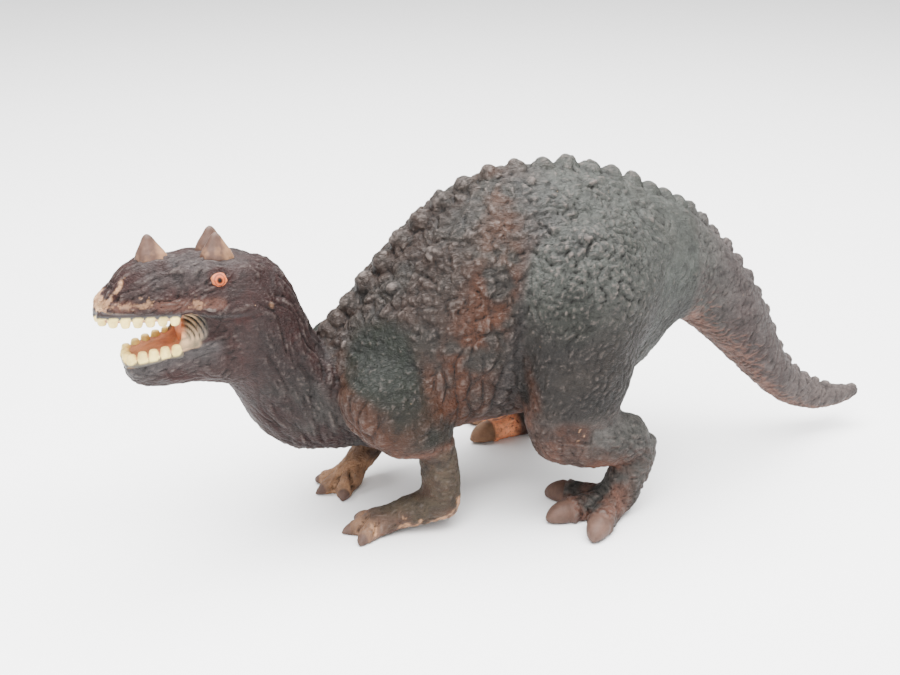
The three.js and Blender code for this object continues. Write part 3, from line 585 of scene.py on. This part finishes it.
def scutes(skin):
    """The row of rounded scutes down the middle of the back."""
    height = np.zeros(len(skin.points))
    for x, z, size in scute_places():
        away = np.linalg.norm(skin.points - np.array((x, MIDPLANE, z)), axis=1)
        top = skin.points[np.argmin(away)]
        front = ramp(-10, -35, x)
        reach = np.linalg.norm(skin.points - top, axis=1) / (4.6 * size + 0.4 * front)
        rise = (2.6 * size + 0.8 * front) * (1 + 0.15 * math.sin(5 * x))
        height = np.maximum(height, rise * np.maximum(1 - reach**1.8, 0))
    return height


def scute_places():
    """Where the middle of the back stands highest on the solids, and the size of the scute there."""
    places = []
    for name in ("torso_shell", "tail_shell"):
        tree, _ = tree_of([name])
        stations = np.arange(low_mm(name)[0], high_mm(name)[0], STATION)
        hits = [tree.ray_cast(Vector((x, MIDPLANE, 300)) * MM, Vector((0, 0, -1)))[0] for x in stations]
        tops = np.array([hit.z / MM if hit else 0 for hit in hits])
        padded = np.pad(tops, MEAN_STEPS, mode="edge")
        count = 2 * MEAN_STEPS + 1
        proud = tops - np.convolve(padded, np.full(count, 1 / count), "valid")
        for i in range(3, len(tops) - 3):
            nearby = proud[max(i - PEAK_STEPS, 0) : i + PEAK_STEPS + 1]
            if proud[i] > SCUTE_RISE and proud[i] == nearby.max():
                size = 0.5 + 0.5 * ramp(130, 60, stations[i])
                places.append((stations[i], tops[i] - SCUTE_SUNK, size))
    return places


def knobs(skin):
    """Rounded knobs: single ones, and scattered ones on the back and on top of the tail."""
    height = np.zeros(len(skin.points))
    for place, radius in KNOBS:
        height = np.maximum(height, 0.6 * radius * skin.near(place, 0.1 * radius, radius))
    height *= skin.y < MIDPLANE
    scattered = skin.back * ramp(70, 84, skin.z) * ramp(36, 20, skin.side) * ramp(5, 9, skin.side)

    def bumps(size, radius, rise, seed):
        def make(here):
            near, _, luck = cells(skin.points[here] / size, seed)
            return rise * ramp(radius, 0.1 * radius, near * size) * (luck > BARE)

        return make

    height = np.maximum(height, laid(scattered, bumps(8.5, 3.0, 1.3, 61)))
    on_tail = skin.tail * ramp(0.1, 0.5, skin.up) * ramp(120, 90, skin.x)
    return np.maximum(height, laid(on_tail, bumps(5.5, 1.5, 0.7, 65)))


def body_texture(skin):
    """Rocky plates on back and hip, tongue-shaped scales on the flank, and pebbles on the shoulder."""
    points = skin.points
    rocky = (skin.trunk - skin.rump) * (1 - 0.8 * skin.shoulder) * (1 - 0.85 * skin.flank) * (1 - skin.belly)
    rocky = np.minimum(rocky * ramp(85, 20, skin.x) + 0.9 * skin.thigh_top, 1)
    rocky = (rocky + 0.6 * skin.near(HIP, 5, 15)) * (1 - 0.4 * skin.scute)

    def rocks(here):
        bent = warped(points[here], 5, 1.3, 11)
        return 0.8 * plates(bent, 5.6, 21) + 0.2 * plates(bent, 2.7, 25) + 0.8 * creases(bent / 3.8, 24, 3)

    def tongues(here):
        bent = warped(points[here], 9, 1.6, 14)
        near, beyond, luck = cells(stretched(bent, (0.1, 0, 1), 13, 5.2), 31)
        groove = ramp(0.25, 0, beyond - near)
        return (0.9 + 0.9 * luck) * ramp(0.9, 0.1, near) - 0.5 * groove

    def pebbles(here):
        bent = warped(points[here], 4, 0.9, 27)
        return 0.3 * plates(bent, 2.8, 28) + creases(bent / 3.4, 29, 3)

    def leather(here):
        return creases(stretched(warped(points[here], 7, 2.2, 17), (1, 0, -0.25), 5, 2.6), 41, 3)

    height = laid(rocky, rocks)
    height += laid(skin.flank, tongues)
    height += laid(np.maximum(skin.belly, 0.6 * skin.flank) * 0.45, leather)
    return height + laid(skin.shoulder * 0.5, pebbles)


def head_texture(skin):
    """Furrows along the snout and wrinkles down the neck."""
    points = skin.points

    def furrows(here):
        bent = warped(points[here], 6, 1.6, 44)
        return creases(stretched(bent, (-1, 0, -0.32), 8, 1.8), 45, 2)

    def wrinkles(here):
        bent = warped(points[here], 8, 2.4, 47)
        return creases(stretched(bent, (-0.35, 0, 1), 12, 3.2), 48, 3)

    return laid(skin.snout * 0.62 * (1 - skin.corner), furrows) + laid(skin.neck * 1.1, wrinkles)


def limb_texture(skin):
    """Fine hatching on legs, arms and tail."""
    points = skin.points

    def hatch(along, seed):
        return lambda here: creases(stretched(warped(points[here], 5, 1.5, seed), along, 3.6, 2.1), seed, 3)

    height = laid(skin.thigh * 0.56, hatch((0.8, 0, 1), 51))
    height += laid(skin.shank * 0.7, hatch((-1, 0, 0.7), 54))
    height += laid(skin.arms * 0.48, hatch((1, 0, 0.4), 57))
    return height + laid(skin.tail * 0.62, hatch((0.6, 0, 1), 63))


# Painting

# How light a painted side looks in this studio, and the paint's own lightness for it
LOOKS = (40, 60, 72, 83, 100, 125, 153, 181, 204, 221, 245)
TONES = (0.0, 0.002, 0.005, 0.01, 0.02, 0.04, 0.08, 0.16, 0.32, 0.6, 1.0)

# Paints, as red, green and blue from 0 to 255 as they look on the figure's side
SLATE = (86, 81, 77)
STONE = (122, 126, 121)
ASH = (129, 121, 119)
MOSS = (62, 68, 60)
UMBER = (102, 76, 64)
RUST = (120, 82, 61)
PLUM = (98, 81, 79)
MAROON = (94, 60, 52)
SOOT = (65, 63, 63)
OLIVE = (119, 107, 93)
TAUPE = (150, 127, 115)
PEACH = (200, 180, 154)
CREAM = (228, 218, 184)
GUM = (158, 150, 132)
ORANGE = (207, 150, 102)
# Bare vinyl lightened past its own colour: painted light for the shaded toes of the right foot
LIT_BARE_VINYL = (243, 207, 184)
# The mouth's orange: partly its own colour, partly painted light, lightened against the shade inside the
# mouth
APRICOT = (210, 176, 142)
IVORY = (216, 204, 182)
TAN = (156, 124, 108)
STEEL = (126, 124, 124)
DUST = (158, 150, 144)
# The darkest paint: the wash in the grooves and the pupils, and also painted shade along the upper lid
DIRT_AND_SHADE = (50, 44, 42)


def tone(colour):
    return np.interp(colour, LOOKS, TONES)


class Paint:
    """Paint on a surface, laid on in coats."""

    def __init__(self, size, colour):
        self.colour = np.tile(tone(colour), (size, 1))

    def coat(self, colour, cover):
        cover = np.clip(cover, 0, 1)[:, None]
        self.colour = self.colour * (1 - cover) + tone(colour) * cover


def painted(skin):
    """The colour of each point of the skin."""
    points = skin.points
    paint = Paint(len(points), SLATE)
    coat = paint.coat
    cloud = rough(points / 20, 71)
    patch = rough(points / 8, 74)
    speck = rough(points / 2.6, 77)
    paint_trunk(skin, coat, cloud, patch)
    paint_legs(skin, coat, cloud, patch)
    paint_arms(skin, coat, patch)
    wear_limbs(skin, coat, patch)
    paint_tail(skin, coat, patch)
    paint_head(skin, coat, patch)
    wear_head(skin, coat, patch)
    coat(SOOT, 0.4 * ramp(0.1, 1.0, speck) * (1 - skin.claw))
    coat(TAUPE, skin.claw)
    # Painted light: the claws of the right foot lightened against the shadow of the body
    coat(PEACH, 0.5 * skin.claw * skin.share["leg_right"])
    paint_mouth(skin, coat, patch)
    return paint.colour


def paint_trunk(skin, coat, cloud, patch):
    """Browns low on the trunk, greys high on it and towards the tail, dark green on the shoulder, and painted
    shade in the crease in front of the thigh.
    """
    x, z = skin.x, skin.z
    low = ramp(80, 40, z)
    lean = x - 0.22 * (z - 60)
    middle = skin.trunk * ramp(14, 5, np.abs(x - 0.5 * (z - 60) + 37))
    coat(UMBER, skin.trunk * (0.3 + 0.35 * low) * ramp(-0.5, 0.6, patch))
    coat(RUST, 0.65 * middle * ramp(-0.7, 0.4, patch))
    coat(RUST, skin.trunk * ramp(60, 34, z) * (0.65 + 0.3 * patch))
    coat(TAN, 0.8 * skin.belly * ramp(-0.8, 0.3, patch))
    # Painted shade in the crease in front of the thigh, laid over a grey coat and darker lower down
    behind = ramp(10, 4, np.abs(lean + 14 + 2 * patch))
    coat(STEEL, skin.trunk * 0.35 * behind * ramp(34, 44, z))
    crease_shade = 0.3 + 0.3 * ramp(90, 60, z)
    coat(SOOT, skin.trunk * behind * crease_shade * ramp(34, 44, z))
    coat(MOSS, skin.shoulder * 0.95 * ramp(-1.2, -0.3, cloud) * ramp(30, 38, z))
    ring = skin.trunk * ramp(3.5, 1, np.abs(off_line(skin.folded, SHOULDER)[0] - 14.5))
    coat(RUST, 0.5 * ring * ramp(72, 50, z))
    coat(STONE, skin.back * 0.2 * ramp(-0.6, 0.8, cloud) * ramp(80, 105, z))
    rear = ramp(-8, 28, x + 0.3 * (z - 80))
    coat(STONE, skin.trunk * 0.7 * rear * ramp(66, 90, z))
    coat(STONE, skin.rump * 0.7)


def paint_legs(skin, coat, cloud, patch):
    """Grey and dark green legs, brown round the knee and lighter towards the toes, darker on the lower thigh
    partly as painted shade, and with painted light on the toes of the right foot.
    """
    x, z = skin.x, skin.z
    under = ramp(0.3, -0.7, skin.up)
    coat(STONE, skin.thigh * 0.65 * ramp(62, 92, z))
    coat(SOOT, 0.45 * skin.near(HIP, 5, 16) * ramp(-0.7, 0.4, patch))
    # Dark paint on the middle and lower thigh: partly its own colour, partly painted shade below the lit top
    coat(SOOT, skin.thigh * 0.55 * ramp(82, 66, z) * ramp(-1, 0, cloud))
    coat(MOSS, skin.thigh * 0.5 * ramp(0, 0.8, cloud))
    coat(ASH, skin.shank * 0.85)
    coat(STONE, skin.shank * 0.45)
    coat(MOSS, skin.shank * 0.35 * ramp(-0.8, 0.3, patch))
    kneecap = skin.along([(-16, 38, 40), (-6, 44, 30), (6, 42, 24), (14, 38, 24)], 5, 13)
    coat(UMBER, skin.legs * np.maximum(0.9 * under, 0.7 * kneecap) * ramp(48, 36, z))
    coat(RUST, skin.legs * 0.35 * kneecap * ramp(-0.3, 0.6, patch) * under)
    coat(TAN, skin.legs * 0.4 * kneecap * ramp(-0.6, 0.6, patch))
    spread = ramp(-0.1, 0.6, cloud + 0.6 * patch)
    coat(MOSS, skin.shank * 0.55 * spread * ramp(8, 24, x))
    toes = ramp(28, 12, z) * ramp(27, 18, x)
    coat(TAN, skin.legs * 0.85 * toes * ramp(-0.9, 0.3, patch))
    coat(MOSS, skin.legs * 0.2 * toes * ramp(0, -0.7, patch))
    # Painted light: bare vinyl on the inner toes of the right foot, lightened against the shadow under the
    # body
    inner = skin.share["leg_right"] * ramp(0.4, -0.2, skin.normals[:, 1])
    coat(LIT_BARE_VINYL, 0.95 * inner * ramp(24, 14, z) * ramp(16, 12, x))
    coat(RUST, skin.thigh * 0.6 * skin.along([(-12, 34, 66), (-11, 40, 50), (-8, 40, 40)], 0.5, 4))


def paint_arms(skin, coat, patch):
    """Olive arms, brown in patches and underneath, and lighter towards the fingers, with painted light on the
    lower right arm and hand against the shadow of the body.
    """
    x, z = skin.x, skin.z
    under = ramp(0.3, -0.7, skin.up)
    right = skin.share["arm_right"]
    coat(OLIVE, skin.arms * 0.9)
    coat(UMBER, skin.arms * 0.6 * ramp(0, 0.8, patch))
    coat(MOSS, skin.arms * 0.35 * ramp(0, -0.7, patch) * ramp(8, 16, z))
    coat(RUST, skin.arms * 0.5 * under * ramp(6, 14, z))
    coat(TAN, skin.arms * 0.75 * ramp(12, 5, z) * ramp(-0.7, 0.5, patch))
    coat(TAUPE, skin.arms * 0.8 * ramp(-56, -64, x) * ramp(10, 6, z))
    # Painted light: the lower right arm and hand lightened against the shadow of the body
    coat(TAUPE, right * 0.7 * ramp(26, 10, z))
    coat(PEACH, right * 0.75 * ramp(20, 8, z) * ramp(-0.8, 0.4, patch))
    coat(PEACH, 0.35 * skin.arms * ramp(-60, -68, x) * ramp(9, 5, z))


def wear_limbs(skin, coat, patch):
    """Paint worn off the heel and a knuckle of the left hand, and a dark, flecked spot on each knee."""
    worn = 0.4 * patch + 0.6 * rough(skin.points / 2, 87)
    heel_line = [(-36, MIDPLANE - 30, 10), (-42, MIDPLANE - 31, 5), (-54, MIDPLANE - 29, 3)]
    heel = off_line(skin.points, heel_line)[0]
    coat(PEACH, skin.arms * ramp(0.1, 0.35, worn + 0.55 - heel / 5.5))
    knuckle = skin.off((-66.5, 27.5, 5)) / 4
    coat(PEACH, skin.share["arm_left"] * ramp(0.1, 0.35, worn + 0.5 - knuckle))
    knee = off_line(skin.folded, [(-3, 46, 38.5), (1.5, 47.5, 37)])[0] / 3
    coat(UMBER, skin.legs * 0.8 * ramp(2, 0.8, knee))
    flecks = rough(skin.points / 0.9, 88) - 0.45 * knee
    coat(PEACH, 0.8 * skin.legs * ramp(0.4, 0.6, flecks))


def paint_tail(skin, coat, patch):
    """A grey tail, light brown along its underside."""
    coat(ASH, skin.tail * (0.85 + 0.15 * ramp(90, 130, skin.x)))
    coat(STONE, skin.tail * 0.7 * ramp(85, 62, skin.x))
    coat(PLUM, skin.tail * 0.65 * ramp(-0.6, 0.6, patch) * ramp(0.4, -0.2, skin.up))
    coat(TAN, skin.tail * 0.9 * ramp(-0.25, -0.7, skin.up))
    coat(DUST, skin.tail * 0.2 * ramp(95, 135, skin.x))


def paint_head(skin, coat, patch):
    """A plum head with maroon bands down the neck, grey along the lips and the lower jaw, and painted shade
    along the upper lid.
    """
    x, z = skin.x, skin.z
    bands = rough(stretched(skin.points, (-0.3, 0, 1), 60, 8), 81)
    coat(PLUM, skin.head)
    coat(MAROON, skin.neck * 0.85 * ramp(-0.15, 0.5, bands))
    coat(SOOT, skin.neck * (0.4 + 0.3 * ramp(0, -0.7, bands)))
    coat(MAROON, skin.snout * 0.6 * ramp(-0.2, 0.6, patch))
    coat(STEEL, skin.snout * 0.3 * ramp(0.2, -0.7, patch) * ramp(91, 97, z))
    coat(STONE, skin.neck * 0.3 * ramp(66, 44, z) * ramp(-0.6, 0.6, patch))
    # Painted shade: a dark line along the upper lid, under the brow, in the darkest paint
    coat(DIRT_AND_SHADE, 0.6 * skin.along([(-118, 12, 98), (-111, 13.5, 100.5), (-103, 14, 98)], 0.6, 2.4))
    coat(MAROON, 0.8 * skin.near(EYE, 3.4, 4.4))
    cheek = skin.tapered([(-114, 14, 80.5), (-108, 15.4, 81.6), (-97, 15.6, 83)], 3)
    coat(MAROON, 0.8 * skin.head * cheek)
    lip = z - np.interp(x, LIPS_X, UPPER_LIP_Z)
    lip_edge = ramp(1, 0.3, np.abs(lip - 0.1))
    coat(STEEL, skin.snout * 0.8 * lip_edge * ramp(-0.6, 0.3, patch))
    chin = z - np.interp(x, LIPS_X, LOWER_LIP_Z)
    jaw = ramp(-9, -2.5, chin - 1.5 * patch) * ramp(1, 0, chin)
    coat(STEEL, skin.snout * 0.65 * jaw * ramp(-109, -115, x))


def wear_head(skin, coat, patch):
    """Paint worn off the tip of the snout, the lip and single places, and the dark nostril."""
    points = skin.points
    worn = 0.4 * patch + rough(points / 1.8, 84) * 0.45
    lip_band = skin.along([(-144, 7, 88.2), (-136, 10, 88.4), (-126, 12.5, 88), (-112, 14.5, 88)], 0.8, 3)
    coat(TAN, 0.55 * skin.head * lip_band * ramp(-0.6, 0.5, patch))
    tip = worn + 1.1 - skin.off((-149, 3, 88.2)) / 4.4
    coat(PEACH, ramp(0.1, 0.35, tip))
    coat(IVORY, 0.6 * ramp(0.4, 0.9, tip))
    streak = off_line(skin.folded, [(-145.5, 5.8, 90.6), (-142.4, 4.9, 93.6), (-140.2, 3.6, 96)])[0]
    coat(PEACH, ramp(0, 0.35, worn + 0.6 - streak / 1.5))
    patches = off_line(skin.folded, [(-143, 7.8, 88), (-136.5, 9.6, 88.8), (-134, 9.8, 90)])[0]
    chipped = rough(points / 1.3, 86)
    coat(PEACH, 0.6 * ramp(0.05, 0.5, chipped + 0.3 - patches / 2.2))
    lip = skin.off((-119.2, 13.4, 88.2)) / 3
    coat(PEACH, 0.5 * ramp(0.1, 0.45, chipped + 0.3 - lip))
    coat(MAROON, 0.9 * skin.near(NOSTRIL, 0.8, 2.2))
    cheek = skin.off((-94.6, 13.8, 85)) / 2
    coat(PEACH, 0.3 * ramp(0, 0.5, worn + 0.6 - cheek))


def paint_mouth(skin, coat, patch):
    """A light mouth, warmer at its back and on its level parts, where its orange is partly its own colour and
    partly painted light against the shade inside it, with dark grooves between its ribs.
    """
    x = skin.x
    level = ramp(0.3, 0.6, np.abs(skin.up))
    warm = np.maximum(level, ramp(-132, -125, x))
    coat(IVORY, skin.mouth)
    # The mouth's orange, lightened past its own colour as painted light against the shade inside the mouth
    coat(APRICOT, skin.mouth * warm * ramp(11, 8, skin.side + 0.5 * patch))
    coat(PEACH, skin.mouth * 0.5 * ramp(-122, -136, x))
    coat(GUM, ramp(0.1, 0.9, skin.corner))
    coat(IVORY, ramp(0.6, 1, skin.corner) * 0.6 * ramp(-0.3, 1, skin.rib + patch))
    coat(SOOT, 0.85 * ramp(-0.35, -0.9, skin.rib))
    coat(STEEL, 0.8 * skin.corner * ramp(-120, -116.5, x))


# Cutting


def split_skin(skin, layers):
    """The skin cut where the shells of the figure meet, each part closed with a lid inside the figure."""
    corners = read(skin.mesh.loops, "vertex_index", kind=np.int32).reshape(-1, 4)
    shares = np.stack([skin.share[name] for name in SHELLS], axis=1)
    owner = shares[corners].mean(axis=1).argmax(axis=1)
    for i, name in enumerate(SHELLS):
        used, faces = np.unique(corners[owner == i], return_inverse=True)
        faces = faces.reshape(-1, 4)
        points = skin.points[used]
        normals = skin.normals[used]
        values = {key: layer[used] for key, layer in layers.items()}
        groups = [faces]
        for row in rims(faces):
            middle = len(points)
            points = np.vstack([points, points[row].mean(axis=0)])
            normals = np.vstack([normals, (0, 0, 1)])
            values = {key: np.concatenate([v, v[row].mean(axis=0)[None]]) for key, v in values.items()}
            groups.append(np.stack([np.full(len(row), middle), row, np.roll(row, -1)], axis=1))
        mesh = mesh_of(points, groups)
        for key, value in values.items():
            store(mesh, key, value)
        yield name, mesh, normals


def rims(faces):
    """The open rims of a set of quads, each as a row of corners that runs against its faces."""
    edges = set(zip(faces.ravel().tolist(), np.roll(faces, -1, axis=1).ravel().tolist()))
    follow = {}
    for head, tail in sorted(edges):
        if (tail, head) not in edges:
            follow.setdefault(tail, []).append(head)
    rows = []
    while follow:
        row = [next(iter(follow))]
        while row[-1] in follow:
            ahead = follow[row[-1]]
            row.append(ahead.pop())
            if not ahead:
                del follow[row[-2]]
        rows.append(np.array(row[:-1]))
    return rows


# Small pieces


def small_piece(name, rounds, swell, colour):
    """A horn, eye or row of teeth from its solid, with its facets softened and moved out by a swell."""
    mesh = solid_copy([name], SMALL_VOXEL)
    smoothed(mesh, np.full(len(mesh.vertices), rounds), 4)
    move_to(mesh, points_mm(mesh) + normals_of(mesh) * swell)
    points = points_mm(mesh)
    ridge = relief(points, normals_of(mesh), edges_of(mesh))
    store(mesh, "paint", colour(name, points))
    store(mesh, "relief", ridge)
    store(mesh, "leather", np.zeros(len(points)))
    return mesh


def horn_colour(name, points):
    """Brown horns, lighter at the back and in patches near the foot."""
    paint = Paint(len(points), TAUPE)
    paint.coat(UMBER, 0.3 * ramp(-0.3, 0.9, rough(points / 3, 91)))
    foot = points[:, 2] - low_mm(name)[2]
    middle = (low_mm(name)[0] + high_mm(name)[0]) / 2
    paint.coat(PEACH, 0.6 * ramp(0.8, 2.8, points[:, 0] - middle + 0.3 * rough(points / 2, 95)))
    paint.coat(PEACH, 0.35 * ramp(0.2, 0.8, rough(points / 2.5, 94)) * ramp(9, 4, foot))
    return paint.colour


def eye_colour(name, points):
    """Rings of paint round the middle of the eye."""
    middle = (low_mm(name) + high_mm(name)) / 2
    middle[1] = points[:, 1].min() if name == "eye_left" else points[:, 1].max()
    reach = np.hypot(points[:, 0] - middle[0], points[:, 2] - middle[2])
    paint = Paint(len(points), ORANGE)
    paint.coat(PEACH, 0.5 * ramp(1.8, 2.6, reach))
    paint.coat(UMBER, 0.7 * ramp(0.32, 0.1, np.abs(reach - 1.65)))
    paint.coat(UMBER, ramp(1.15, 0.7, reach))
    paint.coat(DIRT_AND_SHADE, ramp(0.7, 0.3, reach))
    return paint.colour


# The width of the columns in which the outermost point of the teeth is looked for
TOOTH_COLUMN = 0.4


def teeth_colour(name, points):
    """Cream teeth on a strip of gum, which reaches in between them."""
    upper = name == "upper_teeth"
    inward = above_row(points) * (1 if upper else -1)
    column = np.round(points[:, 0] / TOOTH_COLUMN).astype(int)
    column -= column.min()
    crown = np.zeros(column.max() + 1)
    np.minimum.at(crown, column, inward)
    gap = ramp(*np.percentile(crown, (25, 90)), crown[column])
    paint = Paint(len(points), CREAM)
    paint.coat(STEEL if upper else GUM, ramp(-0.2, 0.5, inward + 1.1 * gap - 0.4))
    paint.coat(PLUM if upper else STEEL, 0.8 * ramp(0.8, 1.5, inward))
    return paint.colour


def above_row(points):
    """How far each point lies above the middle line of its row of teeth."""
    x, z = points[:, 0], points[:, 2]
    slope, level = np.polyfit(x, z, 1)
    return z - slope * x - level


# Materials


def node(tree, kind, links=None, **settings):
    """A shader node. Each link is an input's name or number and either an output socket or a fixed value."""
    made = tree.nodes.new(kind)
    for key, value in settings.items():
        setattr(made, key, value)
    for key, value in (links or {}).items():
        if isinstance(value, bpy.types.NodeSocket):
            tree.links.new(value, made.inputs[key])
        else:
            made.inputs[key].default_value = value
    return made


def noise_node(tree, place, size, detail=5.0):
    """Noise with swells of a size in millimetres."""
    links = {"Vector": place, "Scale": 1 / (size * MM), "Detail": detail, "Roughness": 0.62}
    return node(tree, "ShaderNodeTexNoise", links).outputs["Fac"]


def ranged(tree, value, low, high, at_low, at_high):
    """A value between low and high drawn out over another range, and held at its ends."""
    links = {0: value, 1: low, 2: high, 3: at_low, 4: at_high}
    return node(tree, "ShaderNodeMapRange", links).outputs["Result"]


def blended(tree, share, first, second):
    """Two colours, each a socket or three numbers, blended by a share."""
    links = {0: share}
    for key, colour in ((6, first), (7, second)):
        links[key] = colour if isinstance(colour, bpy.types.NodeSocket) else (*colour, 1)
    return node(tree, "ShaderNodeMix", links, data_type="RGBA").outputs[2]


def combined(tree, operation, first, second):
    return node(tree, "ShaderNodeMath", {0: first, 1: second}, operation=operation).outputs[0]


# The sizes of the mottled patches and of the chips in the paint
MOTTLE = 4.5
CHIP = 1.7
# How strongly paint mirrors light, from 0 to 1
SHEEN = 0.2


def painted_material(name, satin, grain, depth, dust, dirt, flecks=0):
    """Brushed-on paint: mottled, dusted on its ridges, dark in its grooves, and chipped down to the light
    vinyl. Satin is its roughness. Grain and depth are the size and the depth in millimetres of the
    wrinkles, which are drawn out along x. Dust, dirt and flecks say how much there is of each."""
    material = bpy.data.materials.new(name)
    material.use_nodes = True
    tree = material.node_tree
    shader = tree.nodes["Principled BSDF"]
    place = node(tree, "ShaderNodeTexCoord").outputs["Object"]
    drawn_out = node(tree, "ShaderNodeVectorMath", {0: place, 1: (0.6, 1, 1)}, operation="MULTIPLY")
    paint = node(tree, "ShaderNodeAttribute", attribute_name="paint").outputs["Color"]
    ridge = node(tree, "ShaderNodeAttribute", attribute_name="relief").outputs["Fac"]
    leather = node(tree, "ShaderNodeAttribute", attribute_name="leather").outputs["Fac"]
    fine = noise_node(tree, place, grain / 3)
    mottle = noise_node(tree, place, MOTTLE)
    swell = ranged(tree, noise_node(tree, drawn_out.outputs["Vector"], grain, 3.0), 0, 1, -1, 1)
    valley = ranged(tree, combined(tree, "POWER", combined(tree, "ABSOLUTE", swell, 0), 0.5), 0, 0.7, -1, 1)
    wrinkle = combined(tree, "MULTIPLY", valley, leather)
    raised = combined(tree, "ADD", ridge, combined(tree, "MULTIPLY", wrinkle, 0.5))
    shade = ranged(tree, mottle, 0.3, 0.7, 0.68, 1.36)
    colour = node(tree, "ShaderNodeVectorMath", {0: paint, 3: shade}, operation="SCALE").outputs["Vector"]
    dusted = combined(tree, "MULTIPLY", ranged(tree, raised, 0.3, 2.0, 0, dust), mottle)
    colour = blended(tree, dusted, colour, tone(DUST))
    colour = blended(tree, ranged(tree, raised, -0.2, -1.5, 0, dirt), colour, tone(DIRT_AND_SHADE))
    chips = noise_node(tree, place, CHIP, 2.0)
    colour = blended(tree, ranged(tree, chips, 0.78, 0.81, 0, flecks), colour, tone(IVORY))
    tree.links.new(colour, shader.inputs["Base Color"])
    tree.links.new(ranged(tree, fine, 0.3, 0.7, satin - 0.08, satin + 0.1), shader.inputs["Roughness"])
    shader.inputs["Specular IOR Level"].default_value = SHEEN
    height = combined(tree, "ADD", combined(tree, "MULTIPLY", fine, 0.7), wrinkle)
    bump = {"Height": height, "Strength": 0.8, "Distance": depth * MM}
    tree.links.new(node(tree, "ShaderNodeBump", bump).outputs["Normal"], shader.inputs["Normal"])
    return material


# Pieces


def add_piece(name, mesh, solid, material):
    """The mesh as a piece that takes the place of its solid."""
    mesh.polygons.foreach_set("use_smooth", np.ones(len(mesh.polygons), bool))
    mesh.materials.clear()
    mesh.materials.append(material)
    piece = bpy.data.objects.new(name, mesh)
    bpy.context.scene.collection.objects.link(piece)
    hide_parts(solid)
    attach(piece, "root")


def build_skin():
    """The skin of the seven shells, carved, painted and cut into a piece for each."""
    skin = Skin(base_skin())
    carve(skin)
    layers = {
        "paint": painted(skin),
        "relief": relief(skin.points, skin.normals, skin.edges),
        "leather": (1 - skin.claw) * (1 - skin.mouth) * (1 - 0.7 * skin.corner),
    }
    material = painted_material(
        "painted_vinyl", satin=0.58, grain=1.7, depth=0.2, dust=1.5, dirt=0.8, flecks=0.8
    )
    for name, mesh, normals in split_skin(skin, layers):
        add_piece(name.replace("_shell", "") + "_skin", mesh, name, material)
        mesh.normals_split_custom_set_from_vertices(normals)


def build_small_pieces():
    """Horns, eyes and teeth: each kind with its slot, rounds of smoothing, swell, colours and material."""
    horn_paint = painted_material("horn_paint", satin=0.42, grain=1.1, depth=0.12, dust=0.4, dirt=0.5)
    eye_paint = painted_material("eye_paint", satin=0.3, grain=0.8, depth=0.05, dust=0, dirt=0.3)
    tooth_paint = painted_material("tooth_paint", satin=0.35, grain=0.8, depth=0.08, dust=0.2, dirt=0.8)
    kinds = (
        (HORNS, "horn", 10, 0.3, horn_colour, horn_paint),
        (EYES, "eye", 14, -0.1, eye_colour, eye_paint),
        (TEETH, "tooth", 10, 0.4, teeth_colour, tooth_paint),
    )
    for names, slot, rounds, swell, colour, material in kinds:
        for name in names:
            mesh = small_piece(name, rounds, swell, colour)
            add_piece(name + "_piece", mesh, name, material)


# Camera, light and floor

LENS = 60
CAMERA_TARGET = Vector((-27.45, -3.6, 59.7)) * MM
CAMERA_DISTANCE = 533 * MM
CAMERA_AZIMUTH = math.radians(-21)
CAMERA_ELEVATION = math.radians(20.7)
# Soft lamps that face the figure: name, place, width and power in watts
LAMPS = [
    ("key", (-450, -700, 800), 600, 13.5),
    ("top", (0, 0, 900), 1200, 66),
]
# Half the width of the floor in metres, the lightness of its paper, and the strength of the white room
FLOOR_REACH = 3
PAPER = 0.9
ROOM_LIGHT = 1.1


def make_camera():
    camera = bpy.data.cameras.new("camera")
    camera.lens = LENS
    camera.clip_start = 10 * MM
    eye = bpy.data.objects.new("camera", camera)
    flat = math.cos(CAMERA_ELEVATION)
    across = math.sin(CAMERA_AZIMUTH) * flat
    towards = -math.cos(CAMERA_AZIMUTH) * flat
    back = Vector((across, towards, math.sin(CAMERA_ELEVATION)))
    eye.location = CAMERA_TARGET + back * CAMERA_DISTANCE
    eye.rotation_euler = (-back).to_track_quat("-Z", "Y").to_euler()
    bpy.context.scene.collection.objects.link(eye)
    bpy.context.scene.camera = eye


def make_light(name, place, size, power):
    light = bpy.data.lights.new(name, "AREA")
    light.size = size * MM
    light.energy = power
    lamp = bpy.data.objects.new(name, light)
    lamp.location = Vector(place) * MM
    lamp.rotation_euler = (CAMERA_TARGET - lamp.location).to_track_quat("-Z", "Y").to_euler()
    bpy.context.scene.collection.objects.link(lamp)


def make_floor():
    bm = bmesh.new()
    bmesh.ops.create_grid(bm, x_segments=8, y_segments=8, size=FLOOR_REACH)
    mesh = bpy.data.meshes.new("floor")
    bm.to_mesh(mesh)
    bm.free()
    floor = bpy.data.objects.new("floor", mesh)
    bpy.context.scene.collection.objects.link(floor)
    paper = bpy.data.materials.new("paper")
    paper.use_nodes = True
    paper.node_tree.nodes["Principled BSDF"].inputs["Base Color"].default_value = (PAPER, PAPER, PAPER, 1)
    mesh.materials.append(paper)


def make_room():
    world = bpy.data.worlds.new("studio")
    world.use_nodes = True
    shader = world.node_tree.nodes["Background"]
    shader.inputs["Color"].default_value = (1, 1, 1, 1)
    shader.inputs["Strength"].default_value = ROOM_LIGHT
    bpy.context.scene.world = world


build_skin()
build_small_pieces()
make_camera()
for lamp in LAMPS:
    make_light(*lamp)
make_floor()
make_room()
